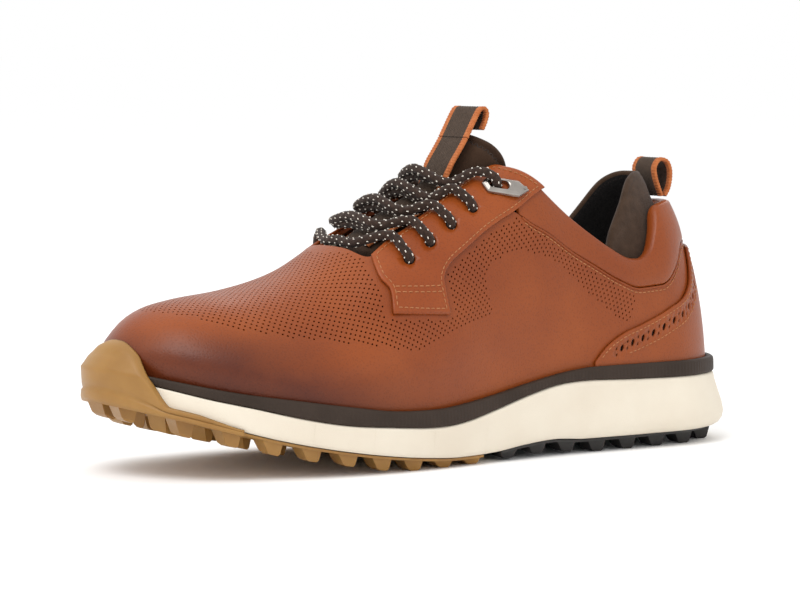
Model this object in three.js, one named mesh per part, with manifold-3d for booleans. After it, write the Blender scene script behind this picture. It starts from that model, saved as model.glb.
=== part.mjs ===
// Left golf shoe: leather upper on a moulded spikeless sole.
// Millimetres. The toe points along -X, the outer side of the foot is -Y, up is +Z.
// The origin is under the middle of the shoe, on the ground.
import * as THREE from 'three';
import Module from 'manifold-3d';
import { mergeVertices } from 'three/addons/utils/BufferGeometryUtils.js';

const wasm = await Module();
wasm.setup();

// ------------------------------------------------------------------ overall sizes
const LENGTH = 304;            // back of the midsole to the front of the toe bumper
const FOREFOOT_WIDTH = 106;    // across the sole at the ball of the foot
const INSTEP_RISE = 150;       // height of the crown line carried back to the heel

// ------------------------------------------------------------------ walls and layers
const GAP = 0.3;               // clearance between pieces that touch
const LAID = 0.4;              // clearance of leather laid over leather
const FACET = 0.45;            // more room where two curved sheets lie close
const LEATHER = 1.6;           // vamp, quarter and collar leather
const OVERLAY = 1.4;           // eyestay and heel overlay leather
const STIFFENER = 0.9;         // toe puff, heel counter and eyestay backers
const LINING = 1.2;
const COLLAR_PAD = 4.0;        // foam under the collar leather
const SOCK_WALL = 2.6;         // stretch collar behind the heel
const TONGUE_PAD = 4.2;
const BOARD = 1.5;             // strobel board
const FOOTBED = 4.4;
const FOOTBED_CLOTH = 0.8;
const SHANK = [70, 32, 1.6];   // length, width, thickness of the arch plate
const OUTSOLE = 1.5;           // rubber under the midsole, without its lugs
const BUMPER = 3.0;            // rubber over the toe
const BUMPER_HEIGHT = 55;
const RAND_LEDGE = 1.0;        // how far the rand's top edge is set back

// ------------------------------------------------------------------ lace, webbing, hardware
const LACE = 4.4;              // lace diameter
const LACE_ROOM = 0.8;         // the lace holes are this much wider than the lace
const LACE_HOLE = LACE + LACE_ROOM;
const WEBBING = [22, 1.3];     // width and thickness of the tongue webbing
const HEEL_WEBBING = [17, 1.3];
const LOOP_PLATE = [20, 8.5, 1.6];   // metal lace loop: length, width, thickness
const LUG = [8.5, 11, 14.5];   // tread lug: along, across, pitch
const HEEL_TREAD = [12, 137];  // stations where the heel rubber starts and ends
const FORE_TREAD = [147, 299]; // the same for the forefoot rubber

// ------------------------------------------------------------------ curves over the last
// A station is the distance forward from the back of the shoe. The tables give a 304 x 106 x 150
// shoe, and these factors carry them to the sizes above.
const along = LENGTH / 304;
const across = FOREFOOT_WIDTH / 106;
const rise = INSTEP_RISE / 150;

// smooth curve through [x, y] points that doesn't overshoot them, held level past its ends
function curve(points, kx = 1, ky = 1) {
  const x = points.map((p) => p[0] * kx);
  const y = points.map((p) => p[1] * ky);
  const n = x.length;
  const slope = (i) => (y[i + 1] - y[i]) / (x[i + 1] - x[i]);
  const m = y.map((_, i) => {
    if (i === 0) return slope(0);
    if (i === n - 1) return slope(n - 2);
    if (slope(i - 1) * slope(i) <= 0) return 0;
    const a = x[i] - x[i - 1];
    const b = x[i + 1] - x[i];
    const limit = 3 * Math.min(Math.abs(slope(i - 1)), Math.abs(slope(i)));
    const mean = (slope(i - 1) * b + slope(i) * a) / (a + b);
    return Math.min(Math.max(mean, -limit), limit);
  });
  return (v) => {
    const q = Math.min(Math.max(v, x[0]), x[n - 1]);
    let i = 0;
    while (i < n - 2 && q > x[i + 1]) i++;
    const h = x[i + 1] - x[i];
    const t = (q - x[i]) / h;
    const t2 = t * t;
    const t3 = t2 * t;
    return (2 * t3 - 3 * t2 + 1) * y[i] + (t3 - 2 * t2 + t) * h * m[i]
      + (3 * t2 - 2 * t3) * y[i + 1] + (t3 - t2) * h * m[i + 1];
  };
}

// outline of the upper where it meets the sole, from the heel round the outer side to the toe and back
const OUTLINE = [
  [10, 0], [15.5, -17.5], [32, -29], [60, -33], [100, -34.5], [140, -39.5], [175, -46], [208, -48.5],
  [238, -45], [264, -36], [283, -21], [294.5, 5], [285, 27.6], [266, 40.6], [240, 47.2], [208, 48.3],
  [170, 42.4], [135, 34.5], [100, 31.5], [60, 31], [32, 27.5], [15.5, 16.5],
];
const outline = new THREE.CatmullRomCurve3(
  OUTLINE.map(([s, y]) => new THREE.Vector3(s * along, y * across, 0)), true, 'centripetal');
outline.arcLengthDivisions = 2000;
const wrap = (u) => ((u % 1) + 1) % 1;
const plan = (u) => outline.getPointAt(wrap(u));
function planNormal(u) {
  const d = plan(u + 0.001).sub(plan(u - 0.001)).normalize();
  return new THREE.Vector3(-d.y, d.x, 0).multiplyScalar(-1);
}
const outward = planNormal(0.25).y < 0 ? 1 : -1;

// heights along the shoe
const seat = curve([[0, 30], [40, 30], [66, 30.5], [91, 31.2], [106, 30.3], [122, 27.1], [141, 22.2],
  [157, 18.7], [173, 17.4], [197, 19], [218, 21], [237, 24.6], [255, 29.2], [271, 33], [286, 37.4],
  [302, 42]], along);
const randTop = curve([[0, 36.8], [66, 36.9], [87, 36.8], [103, 35.1], [122, 31.9], [141, 28.3],
  [157, 26], [173, 24.8], [195, 25.5], [215, 28.2], [237, 31.6], [263, 35.8], [286, 41],
  [302, 45]], along);
const midsoleUnder = curve([[0, 8], [12, 6.5], [91, 6.2], [108, 7.2], [123, 6.3], [141, 4.4], [160, 4],
  [177, 5], [200, 7.6], [225, 11.7], [245, 16], [263, 21.1], [278, 25.7], [302, 32.5]], along);
const tread = curve([[0, 1.2], [12, 0.3], [22, 0], [84, 0], [97, 0.9], [112, 1.4], [130, 0.8], [150, 0],
  [184, 0], [205, 2.2], [218, 4.6], [237, 7.9], [257, 12.5], [271, 15.7], [284, 19.7],
  [302, 26]], along);
const crown = curve([[0, 150], [40, 147], [90, 134], [130, 120.5], [160, 107.5], [190, 93], [212, 80.5],
  [240, 72.5], [262, 70.5], [280, 69.5], [292, 67], [304, 62]], along, rise);
const fullness = curve([[0, 1.66], [60, 1.85], [90, 2.4], [112, 3.2], [150, 3.1], [180, 2.6], [220, 2.3],
  [260, 2.7], [285, 3.3], [304, 3.5]], along);
const bulge = curve([[0, 0.5], [60, 0], [120, 0.5], [180, 2.5], [220, 2.5], [260, 2], [304, 1.5]], along);
const welt = curve([[0, 5.8], [30, 4.6], [60, 3.6], [120, 3.9], [180, 4.2], [220, 3.8], [260, 3.6],
  [285, 4.6], [294.5, 5.9]], along);
const flare = curve([[10, 4.6], [30, 3.8], [60, 2], [110, 0.6], [160, 0.3], [294.5, 0.3]], along);

// ------------------------------------------------------------------ the upper's surface
// u runs round the outline (0 heel, 0.5 toe), g runs up the wall from the sole (0) to the crown line (1)
const SPINE = [62 * along, 240 * along];
const FRONT = 294.5 * along;
const BACK = 10 * along;
const fold = (u) => Math.min(wrap(u), 1 - wrap(u));
function spinePoint(u) {
  const s = (plan(u).x + plan(1 - u).x) / 2;
  const c = SPINE[0] + (SPINE[1] - SPINE[0]) * (s - BACK) / (FRONT - BACK);
  return new THREE.Vector3(c, 4 * across * Math.min(Math.max((c / along - 60) / 180, 0), 1), 0);
}
const columns = new Map();
const STEPS = 40;
function column(u) {
  const key = wrap(u).toFixed(6);
  if (columns.has(key)) return columns.get(key);
  const foot = plan(u);
  const top = spinePoint(u);
  const n = fullness(foot.x);
  const out = planNormal(u).multiplyScalar(outward * bulge(foot.x));
  const points = [];
  const length = [0];
  for (let i = 0; i <= STEPS; i++) {
    const t = (i / STEPS) * Math.PI / 2;
    const inn = 1 - Math.pow(Math.cos(t), 2 / n) * (i < STEPS ? 1 : 0);
    const up = Math.pow(Math.sin(t), 2 / n);
    const w = Math.sin(Math.PI * Math.min(up / 0.7, 1)) ** 2;
    const p = foot.clone().lerp(top, inn).addScaledVector(out, w);
    p.z = seat(p.x) + (crown(p.x) - seat(p.x)) * up;
    points.push(p);
    if (i) length.push(length[i - 1] + p.distanceTo(points[i - 1]));
  }
  const made = { points, length, total: length[STEPS] };
  columns.set(key, made);
  return made;
}
function bare(u, g) {
  const c = column(u);
  const d = Math.min(Math.max(g, 0), 1) * c.total;
  let i = 0;
  while (i < STEPS - 1 && d > c.length[i + 1]) i++;
  const t = (d - c.length[i]) / (c.length[i + 1] - c.length[i]);
  return c.points[i].clone().lerp(c.points[i + 1], t);
}
function surfaceNormal(u, g) {
  if (g > 0.995) {
    const s = bare(u, 1).x;
    return new THREE.Vector3(-(crown(s + 1) - crown(s - 1)) / 2, 0, 1).normalize();
  }
  const du = bare(u + 0.004, g).sub(bare(u - 0.004, g));
  const dg = bare(u, Math.min(g + 0.03, 1)).sub(bare(u, Math.max(g - 0.03, 0)));
  return du.cross(dg).multiplyScalar(-outward).normalize();
}
const toFrame = (p) => new THREE.Vector3(LENGTH / 2 - p.x, p.y, p.z);
const probe = surfaceNormal(0.25, 0.3);
const facing = probe.y < 0 ? 1 : -1;
// point of the upper's outer face, moved out along its normal
function skin(u, g, off = 0) {
  const n = surfaceNormal(u, g);
  if (g <= 0.995) n.multiplyScalar(facing);
  return toFrame(bare(u, g).addScaledVector(n, off));
}
// g of a height on the wall
function levelAt(u, z) {
  const c = column(u);
  let i = 0;
  while (i < STEPS - 1 && c.points[i + 1].z < z) i++;
  const t = (z - c.points[i].z) / (c.points[i + 1].z - c.points[i].z);
  return Math.max(0, (c.length[i] + t * (c.length[i + 1] - c.length[i])) / c.total);
}

// ------------------------------------------------------------------ edges of the upper's panels
// each is g over the folded u, the same on both sides of the shoe
const topline = curve([[0, 0.59], [0.05, 0.583], [0.056, 0.573], [0.069, 0.497], [0.08, 0.435],
  [0.09, 0.415], [0.102, 0.425], [0.116, 0.467], [0.127, 0.507], [0.152, 0.613], [0.168, 0.7],
  [0.174, 0.747], [0.184, 0.815], [0.19, 0.856], [0.206, 0.86], [0.223, 0.845], [0.244, 0.828],
  [0.259, 0.798], [0.274, 0.783], [0.283, 0.766], [0.302, 0.744], [0.318, 0.711], [0.34, 0.86],
  [0.357, 1]]);
const collarSeam = curve([[0, 0.445], [0.03, 0.44], [0.041, 0.427], [0.057, 0.36], [0.076, 0.311],
  [0.096, 0.311], [0.115, 0.346], [0.133, 0.399], [0.17, 0.521], [0.195, 0.641], [0.21, 0.79]]);
const heelEdge = curve([[0, 0.425], [0.028, 0.415], [0.036, 0.36], [0.043, 0.31], [0.053, 0.269],
  [0.074, 0.228], [0.101, 0.184], [0.119, 0.155], [0.136, 0.096], [0.142, 0.06]]);
const sockEdge = curve([[0, 0.72], [0.03, 0.72], [0.06, 0.69], [0.08, 0.62], [0.1, 0.53],
  [0.113, 0.45], [0.13, 0.44]]);
const COLLAR_END = 0.195;
const THROAT = 0.357;
const LACE_HOLES = [[0.29, 0.625], [0.271, 0.663], [0.251, 0.696], [0.23, 0.724], [0.205, 0.759]];

// ------------------------------------------------------------------ solid builders
const range = (n, a, b) => Array.from({ length: n + 1 }, (_, i) => a + (b - a) * i / n);
const colour = (r, g, b) => new THREE.Color().setRGB(r, g, b, THREE.SRGBColorSpace);
const shoe = new THREE.Group();
const looks = {
  tan: { color: colour(0.6, 0.31, 0.16), roughness: 0.42, metalness: 0 },
  espresso: { color: colour(0.16, 0.12, 0.1), roughness: 0.8, metalness: 0 },
  cream: { color: colour(0.93, 0.9, 0.83), roughness: 0.65, metalness: 0 },
  gum: { color: colour(0.66, 0.46, 0.24), roughness: 0.5, metalness: 0 },
  black: { color: colour(0.07, 0.06, 0.06), roughness: 0.7, metalness: 0 },
  metal: { color: colour(0.55, 0.55, 0.52), roughness: 0.3, metalness: 1 },
};
function add(name, geometry, look) {
  const mesh = new THREE.Mesh(geometry, new THREE.MeshStandardMaterial(looks[look]));
  mesh.name = name;
  shoe.add(mesh);
}

// closed geometry from triangles of points, shared corners merged and faces turned outwards
function fromTriangles(triangles) {
  const index = new Map();
  const pos = [];
  const id = (p) => {
    const k = `${p.x.toFixed(3)},${p.y.toFixed(3)},${p.z.toFixed(3)}`;
    if (!index.has(k)) {
      index.set(k, pos.length / 3);
      pos.push(p.x, p.y, p.z);
    }
    return index.get(k);
  };
  const faces = [];
  let volume = 0;
  for (const [a, b, c] of triangles) {
    const [i, j, k] = [id(a), id(b), id(c)];
    if (i === j || j === k || k === i) continue;
    faces.push([i, j, k]);
    volume += a.dot(b.clone().cross(c));
  }
  const geometry = new THREE.BufferGeometry();
  geometry.setAttribute('position', new THREE.Float32BufferAttribute(pos, 3));
  geometry.setIndex(faces.flatMap(([i, j, k]) => (volume < 0 ? [i, k, j] : [i, j, k])));
  return geometry;
}
// a sheet given by its outer and inner grids; open edges are closed by walls
function sheet(outer, inner) {
  const index = new Map();
  const pairs = [];
  const ids = outer.map((row, i) => row.map((p, j) => {
    const k = `${p.x.toFixed(3)},${p.y.toFixed(3)},${p.z.toFixed(3)}`;
    if (!index.has(k)) {
      index.set(k, pairs.length);
      pairs.push([p, inner[i][j]]);
    }
    return index.get(k);
  }));
  const faces = [];
  for (let i = 0; i + 1 < ids.length; i++) {
    for (let j = 0; j + 1 < ids[i].length; j++) {
      const [a, b, c, d] = [ids[i][j], ids[i + 1][j], ids[i + 1][j + 1], ids[i][j + 1]];
      if (a !== b && b !== c && a !== c) faces.push([a, b, c]);
      if (a !== c && c !== d && a !== d) faces.push([a, c, d]);
    }
  }
  const edges = new Set(faces.flatMap(([a, b, c]) => [`${a},${b}`, `${b},${c}`, `${c},${a}`]));
  const out = [];
  for (const [a, b, c] of faces) {
    out.push([pairs[a][0], pairs[b][0], pairs[c][0]]);
    out.push([pairs[a][1], pairs[c][1], pairs[b][1]]);
    for (const [p, q] of [[a, b], [b, c], [c, a]]) {
      if (edges.has(`${q},${p}`)) continue;
      out.push([pairs[q][0], pairs[p][0], pairs[p][1]]);
      out.push([pairs[q][0], pairs[p][1], pairs[q][1]]);
    }
  }
  return fromTriangles(out);
}
// panel of the upper between two offsets; rows are lists of [u, g]
function panel(rows, outer, inner) {
  const at = (off) => rows.map((row) => row.map(([u, g], j) => {
    return skin(u, g, typeof off === 'function' ? off(u, g, j / (row.length - 1)) : off);
  }));
  return sheet(at(outer), at(inner));
}
// solid swept through sections with equal numbers of corners
function sweep(sections, closed = false) {
  const out = [];
  const n = sections[0].length;
  const last = sections.length - (closed ? 0 : 1);
  for (let i = 0; i < last; i++) {
    const a = sections[i];
    const b = sections[(i + 1) % sections.length];
    for (let j = 0; j < n; j++) {
      const k = (j + 1) % n;
      out.push([a[j], b[j], b[k]], [a[j], b[k], a[k]]);
    }
  }
  if (!closed) {
    for (const [s, flip] of [[sections[0], false], [sections[sections.length - 1], true]]) {
      for (let j = 1; j + 1 < n; j++) out.push(flip ? [s[0], s[j + 1], s[j]] : [s[0], s[j], s[j + 1]]);
    }
  }
  return fromTriangles(out);
}
// solid from a stack of rings, capped across; ring[j] faces ring[n - j]
function stack(rings, cuts = 2) {
  const out = [];
  const n = rings[0].length;
  for (let i = 0; i + 1 < rings.length; i++) {
    for (let j = 0; j < n; j++) {
      const k = (j + 1) % n;
      out.push([rings[i][j], rings[i][k], rings[i + 1][k]], [rings[i][j], rings[i + 1][k], rings[i + 1][j]]);
    }
  }
  for (const [ring, flip] of [[rings[0], true], [rings[rings.length - 1], false]]) {
    const rows = [];
    for (let j = 1; j < n / 2; j++) rows.push(range(cuts, 0, 1).map((t) => ring[j].clone().lerp(ring[n - j], t)));
    const face = (a, b, c) => out.push(flip ? [a, c, b] : [a, b, c]);
    const first = rows[0];
    const end = rows[rows.length - 1];
    for (let k = 0; k < cuts; k++) {
      face(ring[0], first[k], first[k + 1]);
      face(ring[n / 2], end[k + 1], end[k]);
    }
    for (let j = 0; j + 1 < rows.length; j++) {
      for (let k = 0; k < cuts; k++) {
        face(rows[j][k], rows[j + 1][k], rows[j + 1][k + 1]);
        face(rows[j][k], rows[j + 1][k + 1], rows[j][k + 1]);
      }
    }
  }
  return fromTriangles(out);
}
// booleans
function solid(geometry) {
  const g = geometry.clone();
  for (const name of Object.keys(g.attributes)) if (name !== 'position') g.deleteAttribute(name);
  const m = mergeVertices(g, 1e-4);
  return new wasm.Manifold(new wasm.Mesh({
    numProp: 3,
    vertProperties: new Float32Array(m.attributes.position.array),
    triVerts: new Uint32Array(m.index.array),
  }));
}
function geometryOf(manifold) {
  const m = manifold.getMesh();
  const g = new THREE.BufferGeometry();
  g.setAttribute('position', new THREE.BufferAttribute(new Float32Array(m.vertProperties), m.numProp));
  g.setIndex(Array.from(m.triVerts));
  return g;
}
const cut = (geometry, tools) => geometryOf(tools.reduce((a, t) => a.subtract(solid(t)), solid(geometry)));
const join = (geometries) => geometryOf(geometries.map(solid).reduce((a, b) => a.add(b)));

// ring of points round the outline, moved out by off(station) at height z(station)
const AROUND = 44;
function ring(off, z) {
  return range(AROUND, 0, 1).slice(0, AROUND).map((u) => {
    const foot = plan(u);
    const p = foot.clone().addScaledVector(planNormal(u), outward * off(foot.x, u));
    p.z = z(p.x);
    return toFrame(p);
  });
}
// y of a ring at a station, on each side
function edgesAt(points, station) {
  const x = LENGTH / 2 - station;
  const side = (list) => {
    for (let i = 0; i + 1 < list.length; i++) {
      const [a, b] = [list[i], list[i + 1]];
      if ((a.x - x) * (b.x - x) <= 0 && a.x !== b.x) return a.y + (b.y - a.y) * (x - a.x) / (b.x - a.x);
    }
    return 0;
  };
  const half = points.length / 2;
  return [side(points.slice(0, half + 1)), side(points.slice(half).concat(points[0]))];
}

// ------------------------------------------------------------------ sole unit
const MIDSOLE_PROFILE = [[0, -0.4, -1.6], [0.1, 0.7, -0.2], [0.26, 1, 0], [0.6, 0.55, 0], [1, 0, 0]];
const midsoleRings = MIDSOLE_PROFILE.map(([v, out, tuck]) => ring(
  (s) => welt(s) + flare(s) * out + tuck,
  (s) => midsoleUnder(s) + (seat(s) - GAP - midsoleUnder(s)) * v));
const archStart = 95 * along;
function plateSections(grow, lift) {
  return range(8, archStart - grow, archStart + SHANK[0] + grow).map((s) => {
    const top = seat(s) - 2 * GAP + lift;
    const low = seat(s) - 2 * GAP - SHANK[2] - grow;
    const half = SHANK[1] / 2 + grow;
    return [[-half, low], [half, low], [half, top], [-half, top]].map(([y, z]) => toFrame(
      new THREE.Vector3(s, y, z)));
  });
}
add('midsole', cut(stack(midsoleRings), [sweep(plateSections(GAP, 5))]), 'cream');
add('shank_plate', sweep(plateSections(0, 0)), 'black');

// a tread lug: a block that narrows downwards from the rubber to the ground line
function lug(s, y, length, width, yaw = 0) {
  const top = midsoleUnder(s) - GAP - OUTSOLE * 0.6;
  const slope = Math.atan2(tread(s + 4) - tread(s - 4), 8);
  const corner = (i, j, k) => {
    const a = (i * length / 2) * (k ? 1 : 0.74);
    const b = (j * width / 2) * (k ? 1 : 0.78);
    const ds = a * Math.cos(yaw) - b * Math.sin(yaw);
    const dy = a * Math.sin(yaw) + b * Math.cos(yaw);
    const low = tread(s) + Math.tan(slope) * ds;
    return toFrame(new THREE.Vector3(s + ds, y + dy, k ? top + Math.tan(slope) * ds : Math.max(low, 0)));
  };
  const ringOf = (k) => [[-1, -1], [1, -1], [1, 1], [-1, 1]].map(([i, j]) => corner(i, j, k));
  return sweep([ringOf(0), ringOf(1)]);
}
// rubber under the midsole between two stations, with rows of lugs
const under = midsoleRings[0];
function treadPiece([from, to], inset, centreRows) {
  const count = Math.round((to - from) / 9);
  const stations = range(count, 0, 1).map((t) => from + (to - from) * Math.sin(t * Math.PI / 2));
  const parts = [sweep(stations.map((s) => {
    const [a, b] = edgesAt(under, s);
    const top = midsoleUnder(s) - GAP;
    return [[a, top - OUTSOLE], [b, top - OUTSOLE], [b, top], [a, top]].map(([y, z]) => toFrame(
      new THREE.Vector3(s, y, z)));
  }))];
  const lugs = Math.floor((to - from - LUG[0] - 2) / LUG[2]);
  for (let i = 0; i <= lugs; i++) {
    const s = from + LUG[0] / 2 + 1 + i * (to - from - LUG[0] - 2) / lugs;
    const [a, b] = edgesAt(under, s);
    const half = (b - a) / 2 - inset - LUG[1] / 2;
    if (half < LUG[1] / 2) continue;
    const middle = (a + b) / 2;
    parts.push(lug(s, middle - half, LUG[0], LUG[1], 0.12));
    parts.push(lug(s, middle + half, LUG[0], LUG[1], -0.12));
    for (const row of centreRows) {
      if (half * (1 - Math.abs(row)) < LUG[1] + 1 || Math.abs(row * half) < LUG[1] / 2 + 1) continue;
      parts.push(lug(s, middle + row * half, LUG[0] * 0.8, LUG[1] * 0.8, row > 0 ? 0.5 : -0.5));
    }
  }
  return parts;
}
const bumperTop = curve([[0.42, 21], [0.436, 23.5], [0.448, 27], [0.456, 31], [0.463, 38], [0.47, 44],
  [0.477, 49.5], [0.484, 52.5], [0.492, 54.5], [0.5, 55]]);
const BUMPER_FROM = 0.43;
const bumperSections = range(22, BUMPER_FROM, 1 - BUMPER_FROM).map((u) => {
  const foot = plan(u);
  const out = planNormal(u).multiplyScalar(outward);
  const away = (off, z) => {
    const p = foot.clone().addScaledVector(out, off);
    p.z = z(p.x);
    return p;
  };
  const face = welt(foot.x) + flare(foot.x) + GAP;
  const under = (s) => midsoleUnder(s) - GAP;
  const low = away(face, under).z;
  const high = Math.max(bumperTop(fold(u)) * BUMPER_HEIGHT / 55, low + 2.5);
  const inner = range(5, 0, 1).map((t) => {
    const z = low + (high - low) * t;
    const wall = skin(u, levelAt(u, Math.max(z, seat(foot.x))), GAP + FACET);
    const lean = Math.min(Math.max((z - randTop(foot.x) - 1) / 6, 0), 1);
    const p = toFrame(away(face, () => z)).lerp(wall, lean);
    p.z = z;
    return p;
  });
  const push = toFrame(out).sub(toFrame(new THREE.Vector3()));
  const outer = inner.map((p, i) => {
    const t = i / 5;
    const q = p.clone().addScaledVector(push, BUMPER * (t > 0.9 ? 0.45 : 1) * (t < 0.1 ? 0.6 : 1));
    q.z -= t > 0.9 ? 0.8 : t < 0.1 ? OUTSOLE : 0;
    return q;
  });
  const flange = [toFrame(away(-6, (s) => under(s) - OUTSOLE)), toFrame(away(-6, under))];
  return [...flange, ...inner, ...outer.reverse()];
});
add('outsole_forefoot', join([...treadPiece(FORE_TREAD.map((s) => s * along), 1.5, [-0.38, 0.38]),
  sweep(bumperSections)]), 'gum');
add('outsole_heel', join(treadPiece(HEEL_TREAD.map((s) => s * along), 1.5, [0.02])), 'black');

// rand: a band round the joint, its inner face against the upper
const overlayRoom = curve([[0, 3 * GAP + OVERLAY + FACET], [0.146, 3 * GAP + OVERLAY + FACET], [0.165, GAP + FACET / 2],
  [0.5, GAP + FACET / 2]]);
const tipInset = curve([[0.43, 0], [0.46, 0.2], [0.5, 0.2]]);
add('rand', sweep(range(56, 0, 1).slice(0, 56).map((u) => {
  const foot = plan(u);
  const out = planNormal(u).multiplyScalar(outward);
  const rim = (off, z) => {
    const p = foot.clone().addScaledVector(out, off);
    p.z = z(p.x);
    return toFrame(p);
  };
  const w = welt(foot.x) - tipInset(fold(u));
  const room = overlayRoom(fold(u));
  const low = skin(u, 0, room);
  low.z = seat(foot.x);
  const top = skin(u, levelAt(u, randTop(foot.x) - 0.4), room);
  return [low, rim(w - 0.4, seat), rim(w, (s) => seat(s) + 2), rim(w - 0.2, (s) => randTop(s) - 1.5),
    rim(Math.max(w - RAND_LEDGE, room + 0.8), randTop), top];
}), true), 'espresso');

// ------------------------------------------------------------------ inside the shoe
const padding = curve([[0, COLLAR_PAD], [0.12, COLLAR_PAD], [0.17, STIFFENER + 2 * GAP],
  [0.36, STIFFENER + 2 * GAP], [0.42, STIFFENER + 5 * GAP], [0.5, STIFFENER + 5 * GAP]]);
const sockIn = LEATHER + COLLAR_PAD + 2 * GAP;                 // depth of the sock behind the heel
const liningIn = (w) => LEATHER + padding(w) + 2 * GAP;        // depth of the lining's outer face
const depth = curve([[0, sockIn + SOCK_WALL], [0.13, sockIn + SOCK_WALL], [0.2, liningIn(0.2) + LINING],
  [0.5, liningIn(0.5) + LINING]]);
const layer = (inset, lift) => ring((s, u) => -inset(u), (s) => seat(s) + lift);
const boardInset = () => LEATHER + GAP + FACET;
add('strobel_board', stack([layer(boardInset, 0.1), layer(boardInset, 0.1 + BOARD)]), 'cream');
const bedInset = (u) => depth(fold(u)) + 1.6;
const bedLow = 0.1 + BOARD + GAP;
const bedTop = bedLow + FOOTBED;
add('footbed', stack([layer(bedInset, bedLow), layer(bedInset, bedTop)]), 'black');
add('footbed_cover', stack([layer(bedInset, bedTop + 0.05), layer(bedInset, bedTop + 0.05 + FOOTBED_CLOTH)]),
  'espresso');

const rowsBetween = (us, low, high, n) => us.map((u) => range(n, 0, 1).map((t) => {
  return [u, low(fold(u)) + (high(fold(u)) - low(fold(u))) * t];
}));
const constant = (v) => () => v;
add('toe_puff', panel(rowsBetween(range(14, 0.42, 0.58), constant(0.06), constant(0.72), 6),
  -LEATHER - 2 * GAP - FACET, -LEATHER - 2 * GAP - FACET - STIFFENER), 'cream');
add('heel_counter', panel(rowsBetween(range(18, -0.13, 0.13), constant(0.05),
  (w) => Math.min(collarSeam(w) - 0.03, 0.3), 4), -LEATHER - GAP, -LEATHER - GAP - STIFFENER), 'cream');
add('collar_foam', panel(rowsBetween(range(28, -0.165, 0.165), (w) => collarSeam(w) + 0.015,
  (w) => topline(w) - 0.02, 4), -LEATHER - GAP, (u) => -LEATHER - GAP - padding(fold(u))), 'cream');
add('bootie_collar', panel(rowsBetween(range(24, -0.13, 0.13), constant(0.06), sockEdge, 7),
  -sockIn, -sockIn - SOCK_WALL), 'espresso');

// ------------------------------------------------------------------ lace holes
const punch = (side, k, radius) => {
  const [w, g] = LACE_HOLES[k];
  const u = side < 0 ? w : 1 - w;
  const axis = skin(u, g, 1).sub(skin(u, g, 0)).normalize();
  const hole = new THREE.CylinderGeometry(radius, radius, 22, 10);
  hole.applyQuaternion(new THREE.Quaternion().setFromUnitVectors(new THREE.Vector3(0, 1, 0), axis));
  const c = skin(u, g, 0);
  hole.translate(c.x, c.y, c.z);
  return hole;
};
const holesOn = (sides, radius) => sides.flatMap((side) => LACE_HOLES.map((_, k) => punch(side, k, radius)));

const liningTop = (w) => (w < THROAT ? topline(w) - 0.02 : 1);
const liningStops = [...range(12, 0.137, 0.285), ...range(5, 0.3, 0.36), ...range(6, 0.38, 0.5)];
const liningAll = [...liningStops, ...liningStops.slice(0, -1).reverse().map((u) => 1 - u)];
add('lining', cut(panel(rowsBetween(liningAll, constant(0.045), liningTop, 7),
  (u) => -liningIn(fold(u)), (u) => -liningIn(fold(u)) - LINING),
holesOn([-1, 1], LACE_HOLE / 2 + 1)), 'espresso');

// ------------------------------------------------------------------ upper
const seamHalf = 0.15 / outline.getLength();
const hiddenEdge = curve([[COLLAR_END, collarSeam(COLLAR_END) - 0.004], [0.205, 0.69], [0.215, 0.757],
  [0.225, 0.81], [0.235, topline(0.235)]]);
const quarterTop = (w) => (w < COLLAR_END ? collarSeam(w) - 0.004 : w < 0.235 ? hiddenEdge(w) : topline(w));
const collarStops = range(14, seamHalf, COLLAR_END);
const uStops = [...collarStops, ...range(11, COLLAR_END + 0.01, THROAT),
  ...range(8, THROAT + 0.015, 0.5)];
const uAll = [...uStops, ...uStops.slice(0, -1).reverse().map((u) => 1 - u)];
add('vamp_quarter', cut(panel(rowsBetween(uAll, constant(0), quarterTop, 8), 0, -LEATHER),
  holesOn([-1, 1], LACE_HOLE / 2)), 'tan');
const PUFF = 1.2;              // how far the padding swells the collar
const puffed = (u, g, v) => PUFF * Math.sin(Math.PI * v) * Math.min(1, Math.max(0, (0.16 - fold(u)) / 0.05));
add('collar_leather', panel(rowsBetween([...collarStops.map((u) => -u).reverse(), 0, ...collarStops], (w) => collarSeam(w) + 0.004,
  (w) => topline(w), 5), puffed, (u, g, v) => puffed(u, g, v) - LEATHER), 'tan');
add('heel_overlay', panel(rowsBetween(range(32, -0.142, 0.142), constant(0.004), heelEdge, 4),
  LAID + OVERLAY, LAID), 'tan');

// eyestays: a band between the throat edge and a lower edge, laid over the quarter and the collar
const THROAT_RAIL = [[0.309, 0.428], [0.309, 0.531], [0.315, 0.581], [0.317, 0.642], [0.318, 0.706],
  [0.302, 0.742], [0.283, 0.764], [0.274, 0.78], [0.259, 0.796], [0.244, 0.825], [0.223, 0.843],
  [0.206, 0.857], [0.19, 0.853], [0.184, 0.812], [0.174, 0.744]];
const LOWER_RAIL = [[0.266, 0.387], [0.266, 0.474], [0.267, 0.538], [0.255, 0.576], [0.222, 0.633],
  [0.198, 0.655], [0.184, 0.675], [0.168, 0.702]];
function alongRail(points, t) {
  const flat = points.map(([u, g]) => new THREE.Vector3(u * outline.getLength(), g * 120, 0));
  const path = new THREE.CurvePath();
  for (let i = 0; i + 1 < flat.length; i++) path.add(new THREE.LineCurve3(flat[i], flat[i + 1]));
  const p = path.getPointAt(t);
  return [p.x / outline.getLength(), p.y / 120];
}
const bandRows = (rails, n, shrink = 0) => range(n, shrink, 1 - shrink).map((t) => {
  const [a, b] = rails.map((rail) => alongRail(rail, t));
  return range(3, shrink, 1 - shrink).map((v) => [a[0] + (b[0] - a[0]) * v, a[1] + (b[1] - a[1]) * v]);
});
const mirror = (rows) => rows.map((row) => row.map(([u, g]) => [1 - u, g]));
const stay = bandRows([THROAT_RAIL, LOWER_RAIL], 20);
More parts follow.
